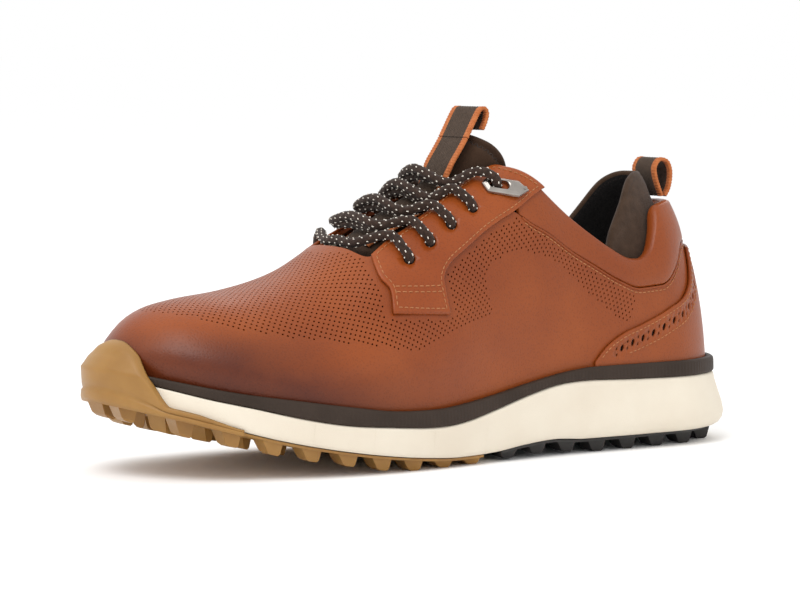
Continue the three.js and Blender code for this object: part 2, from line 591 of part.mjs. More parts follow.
for (const [name, side] of [['lateral', -1], ['medial', 1]]) {
  const rows = side < 0 ? stay : mirror(stay);
  add(`eyestay_${name}`, cut(panel(rows, LAID + 0.1 + OVERLAY, LAID + 0.1),
    holesOn([side], LACE_HOLE / 2)), 'tan');
  const backRows = range(8, 0.302, 0.24).map((u) => range(3, 0, 1).map((v) => {
    const low = 0.565 + (0.302 - u) * 1.3;
    return [u, low + (topline(u) - 0.03 - low) * v];
  }));
  add(`eyestay_backer_${name}`, cut(panel(side < 0 ? backRows : mirror(backRows), -LEATHER - GAP - FACET,
    -LEATHER - GAP - FACET - STIFFENER), holesOn([side], LACE_HOLE / 2 + 0.2)), 'cream');
}

// metal lace loops: long six-sided plates with a hole for the lace
for (const [name, side] of [['lateral', -1], ['medial', 1]]) {
  const [w, g] = LACE_HOLES[4];
  const u = side < 0 ? w : 1 - w;
  const step = side < 0 ? 1 : -1;
  const up = skin(u, g, 1).sub(skin(u, g, 0)).normalize();
  const rear = skin(u - step * 0.01, g - 0.035, 0).sub(skin(u, g, 0)).normalize();
  const wide = up.clone().cross(rear).normalize();
  rear.crossVectors(wide, up);
  const [l, b, t] = LOOP_PLATE;
  const shape = new THREE.Shape([[-6, 0], [-3.5, b / 2], [l - 10, b / 2], [l - 6, 0], [l - 10, -b / 2],
    [-3.5, -b / 2]].map(([x, y]) => new THREE.Vector2(x, y)));
  const plate = new THREE.ExtrudeGeometry(shape, { depth: t, bevelEnabled: false });
  const seatOff = GAP + OVERLAY + 0.9;
  const frame = new THREE.Matrix4().makeBasis(rear, wide, up);
  frame.setPosition(skin(u, g, seatOff));
  plate.applyMatrix4(frame);
  add(`lace_loop_${name}`, cut(plate, [punch(side, 4, LACE_HOLE / 2)]), 'metal');
}

// ------------------------------------------------------------------ tongue
// cross-sections from the root to the free end: station, height, drop and half width of the arc,
// and the lean of the middle line in degrees
const TONGUE = [[204, 76.5, 5, 18, 27], [190, 86, 9, 18, 32], [178, 94.5, 14, 17, 33], [165, 102.5, 18, 16, 33],
  [155, 108, 20, 14.2, 36], [148, 113, 20, 12.8, 42], [143, 118, 19, 12, 50], [138, 125, 18, 12.5, 55],
  [134, 131, 18, 15, 56], [131, 136, 18, 17.5, 56]];
const tongueOf = [0, 1, 2, 3, 4].map((k) => curve(TONGUE.map((row, i) => [i, row[k]])));
// v counts sections, a is the angle round the arc in degrees, off moves out from the surface
function tonguePoint(v, a, off = 0) {
  const [s, z, drop, half, lean] = tongueOf.map((f) => f(v));
  const tilt = lean * Math.PI / 180;
  const q = a * Math.PI / 180;
  const down = new THREE.Vector3(-Math.sin(tilt), 0, -Math.cos(tilt));
  const side = new THREE.Vector3(0, 1, 0);
  const p = new THREE.Vector3(s * along, 0, z * rise).addScaledVector(down, drop * (1 - Math.cos(q)));
  p.addScaledVector(side, half * Math.sin(q));
  const n = down.clone().multiplyScalar(-half * Math.cos(q)).addScaledVector(side, drop * Math.sin(q));
  return toFrame(p.addScaledVector(n.normalize(), off));
}
const END = TONGUE.length - 1;
const tongueGrid = (off) => range(11, 0, END).map((v) => range(12, -92, 92).map((a) => tonguePoint(v, a, off)));
add('tongue', sheet(tongueGrid(0), tongueGrid(-TONGUE_PAD)), 'espresso');
const rootGrid = (off) => range(2, -12, -0.4).map((x) => range(8, -80, 80).map((a) => {
  return tonguePoint(0, a, off).add(new THREE.Vector3(x, 0, x * 0.45));
}));
add('tongue_binding', sheet(rootGrid(-0.6), rootGrid(-2.2)), 'espresso');
const strapGrid = (off) => range(9, 1.5, END - 0.75).map((v) => range(8, -1, 1).map((t) => {
  const half = tongueOf[3](v);
  return tonguePoint(v, Math.asin(Math.min(0.67, WEBBING[0] / 2 / half)) * t * 180 / Math.PI, off);
}));
add('tongue_strap', sheet(strapGrid(GAP + FACET + WEBBING[1]), strapGrid(GAP + FACET)), 'espresso');

// flat band of webbing along a path in the XZ plane, from path points [x, z]
function band(points, width, thick, y = 0) {
  const path = new THREE.CatmullRomCurve3(points.map(([x, z]) => new THREE.Vector3(x, y, z)));
  return sweep(range(14, 0, 1).map((t) => {
    const p = path.getPointAt(t);
    const d = path.getTangentAt(t);
    const n = new THREE.Vector3(-d.z, 0, d.x).multiplyScalar(thick / 2);
    return [[-1, -1], [1, -1], [1, 1], [-1, 1]].map(([a, b]) => {
      return p.clone().addScaledVector(n, b).add(new THREE.Vector3(0, a * width / 2, 0));
    });
  }));
}
const strapEnd = tonguePoint(END - 0.72, 0, GAP + FACET + WEBBING[1] / 2);
const pullAt = ([x, z]) => [strapEnd.x + x, strapEnd.z + z];
add('tongue_pull', band([[0.3, 0.5], [3.2, 6], [5.6, 10.8], [8.9, 13.9], [12.6, 11.8], [12.8, 7],
  [10.6, 3.2]].map(pullAt), WEBBING[0], WEBBING[1]), 'espresso');
const heelPeak = skin(0, topline(0), 0);
const pullHeel = ([x, z]) => [heelPeak.x + x, heelPeak.z + z];
add('heel_pull', band([[-3.2, 1.5], [-4.3, 9], [-4.2, 15], [-0.3, 18.4], [3.5, 14], [4.4, 7],
  [4.2, 1.5]].map(pullHeel), HEEL_WEBBING[0], HEEL_WEBBING[1]), 'espresso');

// ------------------------------------------------------------------ lace
// one lace: a straight bar between the first holes, then crossing up to the metal loops
function tube(points, radius, sides, fine) {
  const path = new THREE.CatmullRomCurve3(points, false, 'centripetal');
  const n = (points.length - 1) * fine;
  let up = new THREE.Vector3(0.31, 0.2, 0.93);
  return sweep(range(n, 0, 1).map((t) => {
    const p = path.getPoint(t);
    const d = path.getTangent(t);
    const a = up.clone().addScaledVector(d, -up.dot(d)).normalize();
    const b = d.clone().cross(a);
    up = a;
    return range(sides, 0, 2 * Math.PI).slice(0, sides).map((q) => p.clone()
      .addScaledVector(a, radius * Math.cos(q)).addScaledVector(b, radius * Math.sin(q)));
  }));
}
const BARS = [1.15, 1.9, 2.75, 3.8, 5.15];      // tongue sections where the lace crosses the middle
const onSide = (side, u, g, off) => skin(side < 0 ? u : 1 - u, g, off);
const above = LAID + 0.1 + OVERLAY + LACE / 2 + GAP + 0.15;
const inside = (w) => -(liningIn(w) + LINING + LACE / 2 + GAP + 2 * FACET);
// from the shoulder of the eyestay down through hole k
function intoHole(side, k) {
  const [u, g] = LACE_HOLES[k];
  const high = above + (k === 4 ? LOOP_PLATE[2] + 0.6 : 0);
  return [onSide(side, u + 0.002, topline(u) - 0.01, above + 1.1), onSide(side, u, g + 0.036, high + 0.4),
    onSide(side, u, g + 0.006, high - 0.9), onSide(side, u, g, 0), onSide(side, u, g, -LEATHER - 2)];
}
// from under hole k to where the lace comes up at the throat edge
function outOfHole(side, k) {
  const [u, g] = LACE_HOLES[k];
  const back = k === 3 ? 0.001 : 0.007;
  const edge = topline(u - back);
  const room = (LACE / 2 + GAP + FACET) / column(u).total;
  return [onSide(side, u - back / 2, g + 0.014, inside(u)), onSide(side, u - back, edge - 0.005, inside(u)),
    onSide(side, u - back - 0.002, edge + room + 0.012, -LEATHER / 2)];
}
const overBar = (k, a, lift) => tonguePoint(BARS[k], a, 5 * GAP + FACET + WEBBING[1] + LACE / 2 + lift);
function half(side) {
  const points = [];
  let s = side;
  points.push(...intoHole(s, 0), ...outOfHole(s, 0));
  for (let k = 1; k < 5; k++) {
    const upper = (k + (side < 0 ? 0 : 1)) % 2;
    points.push(overBar(k, s * 42, upper ? LACE - 0.5 : LACE - 1.5), overBar(k, 0, upper ? LACE + 0.6 : 0));
    s = -s;
    points.push(overBar(k, s * 42, LACE - (upper ? 0.1 : 1.1) + (k === 4 ? 1.2 : 0)), ...intoHole(s, k));
    if (k < 4) points.push(...outOfHole(s, k));
  }
  const [u, g] = LACE_HOLES[4];
  points.push(onSide(s, u - 0.004, g - 0.03, inside(u)), onSide(s, u - 0.012, g - 0.09, inside(u)));
  return points;
}
const bar = [overBar(0, -30, 0.6), overBar(0, 0, 0), overBar(0, 30, 0.6)];
const lacePath = [...half(-1).reverse(), ...bar, ...half(1)];
add('lace', tube(lacePath, LACE / 2, 7, 1), 'espresso');

export default shoe;
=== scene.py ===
import math

import bmesh
import bpy
import numpy as np
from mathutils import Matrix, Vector
from mathutils.geometry import delaunay_2d_cdt
from mathutils.kdtree import KDTree


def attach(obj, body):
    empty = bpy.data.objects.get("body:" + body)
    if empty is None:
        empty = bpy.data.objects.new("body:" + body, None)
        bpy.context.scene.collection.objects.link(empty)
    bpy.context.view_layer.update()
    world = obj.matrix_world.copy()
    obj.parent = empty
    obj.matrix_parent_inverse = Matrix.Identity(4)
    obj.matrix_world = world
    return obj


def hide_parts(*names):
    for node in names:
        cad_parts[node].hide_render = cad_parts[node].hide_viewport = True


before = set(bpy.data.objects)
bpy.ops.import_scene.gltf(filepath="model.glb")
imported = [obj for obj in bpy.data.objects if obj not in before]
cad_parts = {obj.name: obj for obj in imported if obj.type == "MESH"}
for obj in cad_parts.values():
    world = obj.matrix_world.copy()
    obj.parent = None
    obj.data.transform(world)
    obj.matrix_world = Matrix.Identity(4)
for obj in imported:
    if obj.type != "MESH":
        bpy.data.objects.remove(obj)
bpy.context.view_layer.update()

# ---------------------------------------------------------------- camera, floor and light
# A long lens low on the outer side of the shoe, ahead of the toe. The shoe has no loose cord:
# its lace is drawn tight through the holes, so it comes with the eyestays below.
turn, lift = math.radians(-32.0), math.radians(4.4)
aim = Vector((-0.0088, 0.0, 0.0656))
back = Vector((math.sin(turn) * math.cos(lift), -math.cos(turn) * math.cos(lift), math.sin(lift)))
lens = bpy.data.cameras.new("camera")
lens.lens, lens.sensor_width = 150.0, 36.0
camera = bpy.data.objects.new("camera", lens)
camera.location = aim + back * 1.4
camera.rotation_euler = (-back).to_track_quat("-Z", "Y").to_euler()
bpy.context.scene.collection.objects.link(camera)
bpy.context.scene.camera = camera

# a wide sheet of white paper
paper = bpy.data.materials.new("paper")
paper.use_nodes = True
paper.node_tree.nodes["Principled BSDF"].inputs["Base Color"].default_value = (1.0, 1.0, 1.0, 1)
paper.node_tree.nodes["Principled BSDF"].inputs["Specular IOR Level"].default_value = 0.0
floor_mesh = bpy.data.meshes.new("floor")
floor_mesh.from_pydata([(-30, -30, 0), (30, -30, 0), (30, 30, 0), (-30, 30, 0)], [], [(0, 1, 2, 3)])
floor_mesh.materials.append(paper)
floor = bpy.data.objects.new("floor", floor_mesh)
bpy.context.scene.collection.objects.link(floor)

world = bpy.data.worlds.new("room")
world.use_nodes = True
world.node_tree.nodes["Background"].inputs["Color"].default_value = (1.0, 1.0, 1.0, 1)
world.node_tree.nodes["Background"].inputs["Strength"].default_value = 1.0
bpy.context.scene.world = world
bpy.context.scene.view_settings.view_transform = "Standard"


def softbox(name, place, target, size, power, tint=(1, 1, 1)):
    data = bpy.data.lights.new(name, "AREA")
    data.shape = "RECTANGLE"
    data.size, data.size_y = size
    data.energy = power
    data.color = tint
    lamp = bpy.data.objects.new(name, data)
    lamp.location = place
    lamp.rotation_euler = (Vector(target) - Vector(place)).to_track_quat("-Z", "Y").to_euler()
    bpy.context.scene.collection.objects.link(lamp)


softbox("key_light", (-0.75, -0.35, 1.15), (-0.02, 0, 0.05), (0.9, 0.6), 8.0)
softbox("rear_light", (0.9, 0.9, 0.9), (0.05, 0, 0.06), (0.8, 0.8), 2.5)
softbox("front_light", (0.4, -1.3, 0.5), (0.02, 0, 0.06), (0.9, 0.5), 0.6)

# ---------------------------------------------------------------- the last
# The form that the upper is pulled over. It isn't a piece: the leather, lining and sole are all
# laid out on it. Millimetres; a station is the distance forward from the back of the shoe.
LENGTH = 304.0


def curve(points):
    """Smooth curve through [x, y] points that doesn't overshoot, held level past its ends."""
    x, y = np.array(points, float).T
    rise = np.diff(y) / np.diff(x)
    slope = np.concatenate([rise[:1], np.zeros(len(x) - 2), rise[-1:]])
    for i in range(1, len(x) - 1):
        if rise[i - 1] * rise[i] > 0:
            a, b = x[i] - x[i - 1], x[i + 1] - x[i]
            cap = 3 * min(abs(rise[i - 1]), abs(rise[i]))
            slope[i] = np.clip((rise[i - 1] * b + rise[i] * a) / (a + b), -cap, cap)

    def at(value):
        q = np.clip(np.asarray(value, float), x[0], x[-1])
        i = np.clip(np.searchsorted(x, q) - 1, 0, len(x) - 2)
        h = x[i + 1] - x[i]
        t = (q - x[i]) / h
        return ((2 * t**3 - 3 * t**2 + 1) * y[i] + (t**3 - 2 * t**2 + t) * h * slope[i]
                + (3 * t**2 - 2 * t**3) * y[i + 1] + (t**3 - t**2) * h * slope[i + 1])
    return at


def through(points, per_span, closed=False):
    """Dense points of a centripetal spline through the given ones."""
    p = np.array(points, float)
    n = len(p)
    spans = n if closed else n - 1
    out = []
    for i in range(spans):
        p1, p2 = p[i], p[(i + 1) % n]
        p0 = p[(i - 1) % n] if closed or i else 2 * p1 - p2
        p3 = p[(i + 2) % n] if closed or i < n - 2 else 2 * p2 - p1
        d0, d1, d2 = (max(np.linalg.norm(b - a), 1e-6) ** 0.5 for a, b in ((p0, p1), (p1, p2), (p2, p3)))
        m1 = ((p1 - p0) / d0 - (p2 - p0) / (d0 + d1) + (p2 - p1) / d1) * d1
        m2 = ((p2 - p1) / d1 - (p3 - p1) / (d1 + d2) + (p3 - p2) / d2) * d1
        t = (np.arange(per_span) / per_span)[:, None]
        out.append(p1 + m1 * t + (3 * (p2 - p1) - 2 * m1 - m2) * t**2 + (2 * (p1 - p2) + m1 + m2) * t**3)
    if not closed:
        out.append(p[-1:])
    return np.concatenate(out)


def lengths(points):
    return np.concatenate([[0], np.cumsum(np.linalg.norm(np.diff(points, axis=0), axis=1))])


def read_at(at, run, table):
    """A table's rows at distances along it."""
    return np.stack([np.interp(at, run, column) for column in table.T], -1)


def unit(v):
    return v / np.linalg.norm(v, axis=-1, keepdims=True)


def left_of(d):
    """Unit vectors a quarter turn to the left of flat ones."""
    return unit(np.stack([-d[..., 1], d[..., 0]], -1))


# the foot of the upper, from the heel round the outer side to the toe and back
foot_line = through([
    [10, 0], [15.5, -17.5], [32, -29], [60, -33], [100, -34.5], [140, -39.5], [175, -46], [208, -48.5],
    [238, -45], [264, -36], [283, -21], [294.5, 5], [285, 27.6], [266, 40.6], [240, 47.2], [208, 48.3],
    [170, 42.4], [135, 34.5], [100, 31.5], [60, 31], [32, 27.5], [15.5, 16.5]], 180, closed=True)
foot_line = np.vstack([foot_line, foot_line[:1]])
foot_run = lengths(foot_line)
GIRTH = foot_run[-1]


def plan(u):
    """The foot line in plan: u is the share of the way round it."""
    return read_at(np.mod(u, 1.0) * GIRTH, foot_run, foot_line)


def plan_out(u):
    return -left_of(plan(np.asarray(u) + 1e-3) - plan(np.asarray(u) - 1e-3))


def spine_y(x):
    return 4 * np.clip((x - 60) / 180, 0, 1)


def spine_at(u):
    """The crown line in plan, where the two walls meet."""
    s = (plan(u)[..., 0] + plan(1 - np.asarray(u))[..., 0]) / 2
    c = 62 + 178 * (s - 10) / 284.5
    return np.stack([c, spine_y(c)], -1)


seat = curve([[0, 30], [40, 30], [66, 30.5], [91, 31.2], [106, 30.3], [122, 27.1], [141, 22.2],
              [157, 18.7], [173, 17.4], [197, 19], [218, 21], [237, 24.6], [255, 29.2], [271, 33],
              [286, 37.4], [302, 42]])
crown = curve([[0, 150], [40, 147], [90, 134], [130, 120.5], [160, 107.5], [190, 93], [212, 80.5],
               [240, 72.5], [262, 70.5], [280, 69.5], [292, 67], [304, 62]])
fullness = curve([[0, 1.66], [60, 1.85], [90, 2.4], [112, 3.2], [150, 3.1], [180, 2.6], [220, 2.3],
                  [260, 2.7], [285, 3.3], [304, 3.5]])
bulge = curve([[0, 0.5], [60, 0], [120, 0.5], [180, 2.5], [220, 2.5], [260, 2], [304, 1.5]])

# the form as a table: u runs round the foot line, g up the wall to the crown line
ROUND, UP = 1300, 240
u_axis = np.arange(ROUND) / ROUND
feet = plan(u_axis)
spine = spine_at(u_axis)
angle = np.linspace(0, math.pi / 2, 121)
power = 2 / fullness(feet[:, 0])[:, None]
inn = 1 - np.clip(np.cos(angle), 0, 1)[None] ** power
inn[:, -1] = 1
climb = np.sin(angle)[None] ** power
flank = feet[:, None] + (spine - feet)[:, None] * inn[..., None]
swell = np.sin(math.pi * np.clip(climb / 0.7, 0, 1)) ** 2 * bulge(feet[:, 0])[:, None]
flank = flank + plan_out(u_axis)[:, None] * swell[..., None]
height = seat(flank[..., 0]) + (crown(flank[..., 0]) - seat(flank[..., 0])) * climb
raw = np.concatenate([LENGTH / 2 - flank[..., :1], flank[..., 1:], height[..., None]], -1)
form = np.empty((ROUND, UP + 1, 3))
wall_length = np.empty(ROUND)
for i in range(ROUND):
    run = lengths(raw[i])
    wall_length[i] = run[-1]
    form[i] = read_at(np.linspace(0, run[-1], UP + 1), run, raw[i])
ahead, behind = np.roll(form, -5, 0), np.roll(form, 5, 0)
up_step = np.gradient(form, axis=1)
facing = np.cross(ahead - behind, up_step)
facing /= np.linalg.norm(facing, axis=-1, keepdims=True) + 1e-12
if facing[ROUND // 4, 60, 1] > 0:
    facing = -facing
# near the crown line the two sides share their normals
mirror_row = (ROUND - np.arange(ROUND)) % ROUND
for j in range(UP - 6, UP + 1):
    share = 0.5 * (1 - (UP - j) / 7)
    facing[:, j] = facing[:, j] * (1 - share) + facing[mirror_row, j] * share
# where the sides meet in a point at the heel and toe, the crown line takes the normal just below it
meets = np.linalg.norm(facing[:, UP:], axis=-1) < 1e-6
facing[:, UP] = np.where(meets, facing[:, UP - 1], facing[:, UP])
facing = unit(facing)


def look_up(table, u, g):
    """A table's value at u and g, taken between its four nearest points."""
    u, g = np.broadcast_arrays(np.asarray(u, float), np.asarray(g, float))
    a = np.mod(u, 1.0) * ROUND
    b = np.clip(g, 0, 1) * UP
    i, j = np.floor(a).astype(int) % ROUND, np.minimum(np.floor(b).astype(int), UP - 1)
    fa, fb = (a - np.floor(a))[..., None], (b - j)[..., None]
    k = (i + 1) % ROUND
    return ((table[i, j] * (1 - fa) + table[k, j] * fa) * (1 - fb)
            + (table[i, j + 1] * (1 - fa) + table[k, j + 1] * fa) * fb)


def skin_normal(u, g):
    return unit(look_up(facing, u, g))


def skin(u, g, off=0.0):
    """Points on the upper, moved out along its normal by off."""
    return look_up(form, u, g) + skin_normal(u, g) * np.asarray(off, float)[..., None]


def wall_at(u):
    return np.interp(np.mod(u, 1.0) * ROUND, np.arange(ROUND + 1), np.append(wall_length, wall_length[0]))


def level_at(u, z):
    """How far up the wall a height is."""
    u, z = np.broadcast_arrays(np.asarray(u, float), np.asarray(z, float))
    out = np.empty(u.shape)
    for spot in np.ndindex(u.shape):
        column = form[int(round(np.mod(u[spot], 1.0) * ROUND)) % ROUND, :, 2]
        out[spot] = np.interp(z[spot], column, np.linspace(0, 1, UP + 1))
    return out


def fold(u):
    """The same on both sides: 0 at the heel, 0.5 at the toe."""
    return np.minimum(np.mod(u, 1.0), 1 - np.mod(u, 1.0))


# ---------------------------------------------------------------- midsole
# One block of cream foam moulded to shape, bowled out behind the heel and glued under the upper.
# Its skin is matt with a faint moulding texture and thin flow lines along the outer side.
GAP = 0.3
midsole_under = curve([[0, 8], [12, 6.5], [91, 6.2], [108, 7.2], [123, 6.3], [141, 4.4], [160, 4],
                       [177, 5], [200, 7.6], [225, 11.7], [245, 16], [263, 21.1], [278, 25.7],
                       [302, 32.5]])
welt = curve([[0, 5.8], [30, 4.6], [60, 3.6], [120, 3.9], [180, 4.2], [220, 3.8], [260, 3.6],
              [285, 4.6], [294.5, 5.9]])
flare = curve([[10, 4.6], [30, 3.8], [60, 2], [110, 0.6], [160, 0.3], [294.5, 0.3]])


def grid(rows, columns, wrap_rows=False, wrap_columns=False, start=0):
    """Quads over a grid of points numbered row by row."""
    i = np.arange(rows if wrap_rows else rows - 1)[:, None]
    j = np.arange(columns if wrap_columns else columns - 1)[None]
    k, l = (i + 1) % rows, (j + 1) % columns
    quads = np.stack([i * columns + j, k * columns + j, k * columns + l, i * columns + l], -1)
    return (quads.reshape(-1, 4) + start).tolist()


def turn_out(made):
    """Faces of a closed mesh all look outwards."""
    work = bmesh.new()
    work.from_mesh(made.data)
    bmesh.ops.recalc_face_normals(work, faces=work.faces)
    work.to_mesh(made.data)
    work.free()


def piece(name, points, faces, material, slot, body="shoe", stands_for=(), smooth=True):
    """A mesh object in the shoe's frame that rides on a body and stands for CAD nodes."""
    mesh = bpy.data.meshes.new(name)
    mesh.from_pydata((np.asarray(points, float).reshape(-1, 3) * 0.001).tolist(), [], faces)
    mesh.materials.append(material)
    made = bpy.data.objects.new(name, mesh)
    bpy.context.scene.collection.objects.link(made)
    turn_out(made)
    if smooth:
        mesh.shade_smooth()
    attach(made, body)
    if stands_for:
        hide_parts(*stands_for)
    return made


def bevel(made, width, segments=2, limit=0.6):
    rounding = made.modifiers.new("edge", "BEVEL")
    rounding.width, rounding.segments = width * 0.001, segments
    rounding.limit_method, rounding.angle_limit = "ANGLE", limit


def wash(name, tones, scale, rough, bump, grain, sheen=0.0, coat=0.0, metal=0.0, detail=6.0, shine=0.5):
    """A surface with mottled colour, uneven roughness and a fine grain. Scales are per metre."""
    made = bpy.data.materials.new(name)
    made.use_nodes = True
    nodes, links = made.node_tree.nodes, made.node_tree.links
    shader = nodes["Principled BSDF"]
    shader.inputs["Roughness"].default_value = rough
    shader.inputs["Metallic"].default_value = metal
    shader.inputs["Specular IOR Level"].default_value = shine
    shader.inputs["Sheen Weight"].default_value = sheen
    shader.inputs["Coat Weight"].default_value = coat
    shader.inputs["Coat Roughness"].default_value = 0.28
    place = nodes.new("ShaderNodeTexCoord")
    cloud = nodes.new("ShaderNodeTexNoise")
    cloud.inputs["Scale"].default_value = scale
    cloud.inputs["Detail"].default_value = detail
    links.new(place.outputs["Object"], cloud.inputs["Vector"])
    ramp = nodes.new("ShaderNodeValToRGB")
    ramp.color_ramp.elements[0].position, ramp.color_ramp.elements[1].position = 0.32, 0.68
    ramp.color_ramp.elements[0].color = (*tones[0], 1)
    ramp.color_ramp.elements[1].color = (*tones[1], 1)
    links.new(cloud.outputs["Fac"], ramp.inputs["Fac"])
    links.new(ramp.outputs["Color"], shader.inputs["Base Color"])
    fine = nodes.new("ShaderNodeTexNoise")
    fine.inputs["Scale"].default_value = grain
    fine.inputs["Detail"].default_value = 3.0
    links.new(place.outputs["Object"], fine.inputs["Vector"])
    spread = nodes.new("ShaderNodeMapRange")
    spread.inputs["To Min"].default_value = rough - 0.07
    spread.inputs["To Max"].default_value = rough + 0.09
    links.new(fine.outputs["Fac"], spread.inputs["Value"])
    links.new(spread.outputs["Result"], shader.inputs["Roughness"])
    relief = nodes.new("ShaderNodeBump")
    relief.inputs["Strength"].default_value = bump
    relief.inputs["Distance"].default_value = 0.0004
    links.new(fine.outputs["Fac"], relief.inputs["Height"])
    links.new(relief.outputs["Normal"], shader.inputs["Normal"])
    return made


def ring(off, z, count=200):
    """Points round the foot line, moved out, at a height; both depend on the station."""
    u = np.arange(count) / count
    foot = plan(u)
    p = foot + plan_out(u) * np.asarray(off(foot[:, 0]), float).reshape(-1, 1)
    return np.stack([LENGTH / 2 - p[:, 0], p[:, 1], z(p[:, 0])], -1)


foam = wash("cream_foam", ((0.72, 0.64, 0.52), (0.77, 0.70, 0.58)), 35, 0.62, 0.25, 2600, shine=0.35)
profile = [(0.0, -1.0, -2.4), (0.01, 0.3, -0.7), (0.06, 0.62, -0.15), (0.14, 0.9, 0), (0.26, 1.02, 0),
           (0.42, 0.86, 0), (0.6, 0.55, 0), (0.78, 0.25, 0), (0.9, 0.08, 0), (0.96, 0.02, 0), (1.0, 0, -0.5)]
rings = [ring(lambda s, o=o, k=k: welt(s) + flare(s) * o + k,
              lambda s, v=v: midsole_under(s) + (seat(s) - GAP - midsole_under(s)) * v)
         for v, o, k in profile]
points = np.array(rings)
faces = grid(len(rings), 200, wrap_columns=True)
faces += [list(range(199, -1, -1)), [(len(rings) - 1) * 200 + j for j in range(200)]]
piece("midsole_block", points, faces, foam, "midsole_foam", stands_for=["midsole"])
# short drafts where the mould parts, on the outer and inner side of the forefoot
lines = []
line_faces = []
for w in (0.24, 0.285, 0.33, 0.37, 0.63, 0.67, 0.715, 0.76):
    foot, out = plan(w), plan_out(w)
    s = foot[0]
    low, high = midsole_under(s) + 0.8, seat(s) - 1.2
    for z in np.linspace(low, high, 7):
        v = (z - midsole_under(s)) / (seat(s) - GAP - midsole_under(s))
        reach = welt(s) + flare(s) * np.interp(v, [0, 0.26, 0.6, 1], [0.4, 1.02, 0.55, 0])
        for d in (-0.14, 0, 0.14):
            along = np.array([out[1], -out[0]])
            p = foot + out * (reach + (0.1 if d == 0 else -0.15)) + along * (d + (z - low) * 0.12)
            lines.append([LENGTH / 2 - p[0], p[1], z])
    line_faces += grid(7, 3, start=len(lines) - 21)
piece("midsole_parting_lines", lines, line_faces, foam, "midsole_foam")

# ---------------------------------------------------------------- tread and toe bumper
# Two pieces of moulded rubber glued under the foam: honey-coloured gum under the forefoot, carried
# up over the toe as a bumper, and black rubber under the heel. Both have rows of bevelled lugs.
OUTSOLE = 1.5
tread = curve([[0, 1.2], [12, 0.3], [22, 0], [84, 0], [97, 0.9], [112, 1.4], [130, 0.8], [150, 0],
               [184, 0], [205, 2.2], [218, 4.6], [237, 7.9], [257, 12.5], [271, 15.7], [284, 19.7],
               [302, 26]])
gum = wash("gum_rubber", ((0.28, 0.138, 0.033), (0.36, 0.190, 0.050)), 45, 0.42, 0.12, 1500, shine=0.35)
gum.node_tree.nodes["Principled BSDF"].inputs["Subsurface Weight"].default_value = 0.12
gum.node_tree.nodes["Principled BSDF"].inputs["Subsurface Radius"].default_value = (0.004, 0.002, 0.0008)
gum.node_tree.nodes["Principled BSDF"].inputs["Subsurface Scale"].default_value = 0.6
black_rubber = wash("black_rubber", ((0.012, 0.010, 0.009), (0.022, 0.019, 0.017)), 60, 0.55, 0.2, 1800)
under_ring = ring(lambda s: welt(s) - 0.4 * flare(s) - 1.6, midsole_under, 600)


def edges_at(station):
    """y of the midsole's underside on each side at a station."""
    x = LENGTH / 2 - station
    outer, inner = under_ring[:301], np.vstack([under_ring[300:], under_ring[:1]])
    return (np.interp(-x, -outer[:, 0], outer[:, 1]), np.interp(x, inner[:, 0], inner[:, 1]))


def lug(s, y, length, width, yaw):
    """A block that narrows to the ground, with sloped ends and a notch-cut top."""
    top = midsole_under(s) - GAP - OUTSOLE * 0.6
    slope = math.atan2(tread(s + 4) - tread(s - 4), 8)
    corners = []
    for k, (fx, fy) in enumerate(((0.66, 0.72), (0.8, 0.86), (1.0, 1.0))):
        for i, j in ((-1, -1), (1, -1), (1, 1), (-1, 1)):
            a, b = i * length / 2 * (fx if i < 0 else (0.1, 0.45, 1.0)[k]), j * width / 2 * fy
            ds = a * math.cos(yaw) - b * math.sin(yaw)
            dy = a * math.sin(yaw) + b * math.cos(yaw)
            low = tread(s) + math.tan(slope) * ds
            high = top + math.tan(slope) * ds
            z = (low, low + min(0.9, (high - low) * 0.3), high)[k]
            corners.append([LENGTH / 2 - s - ds, y + dy, max(z, 0.02)])
    faces = [[0, 3, 2, 1], [8, 9, 10, 11]]
    for k in (0, 4):
        faces += [[k + i, k + (i + 1) % 4, k + 4 + (i + 1) % 4, k + 4 + i] for i in range(4)]
    return corners, faces


def tread_piece(name, span, rows, material, slot, node, first=0):
    """The rubber sheet under the midsole and its lugs, as one moulding."""
    points, faces = [], []
    stations = span[0] + (span[1] - span[0]) * np.sin(np.linspace(0, 1, 90) * math.pi / 2)
    for s in stations:
        a, b = edges_at(s)
        top = midsole_under(s) - GAP
        for t in np.linspace(0, 1, 9):
            points.append([LENGTH / 2 - s, a + (b - a) * t, top - OUTSOLE + 0.5 * (abs(2 * t - 1) > 0.99)])
        for t in np.linspace(1, 0, 9):
            points.append([LENGTH / 2 - s, a + (b - a) * t, top])
    faces += grid(90, 18, wrap_columns=True)
    faces += [list(range(18)), [89 * 18 + j for j in range(17, -1, -1)]]
    count = math.floor((span[1] - span[0] - 10.5) / 14.5)
    for i in range(count + 1):
        s = span[0] + 5.25 + i * (span[1] - span[0] - 10.5) / count
        a, b = edges_at(s)
        half, middle = (b - a) / 2 - 7.0, (a + b) / 2
        if half < 5.5:
            continue
        spots = [(-1, 8.5, 11, 0.12), (1, 8.5, 11, -0.12)]
        spots += [(r, 6.8, 8.8, 0.5 * (1 if r > 0 else -1)) for r in rows
                  if half * (1 - abs(r)) > 12 and abs(r * half) > 6.5]
        for r, length, width, yaw in spots:
            corners, sides = lug(s, middle + r * half, length, width, yaw)
            faces += [[v + len(points) for v in f] for f in sides]
            points += corners
    made = piece(name, points, faces, material, slot, stands_for=[node], smooth=False)
    bevel(made, 0.35, 2)
    made.data.shade_smooth()
    made.data.set_sharp_from_angle(angle=math.radians(32))
    return made


tread_piece("heel_tread", (12, 137), (0.02,), black_rubber, "heel_rubber", "outsole_heel")
tread_piece("forefoot_tread", (147, 299), (-0.38, 0.38), gum, "gum_rubber", "outsole_forefoot")

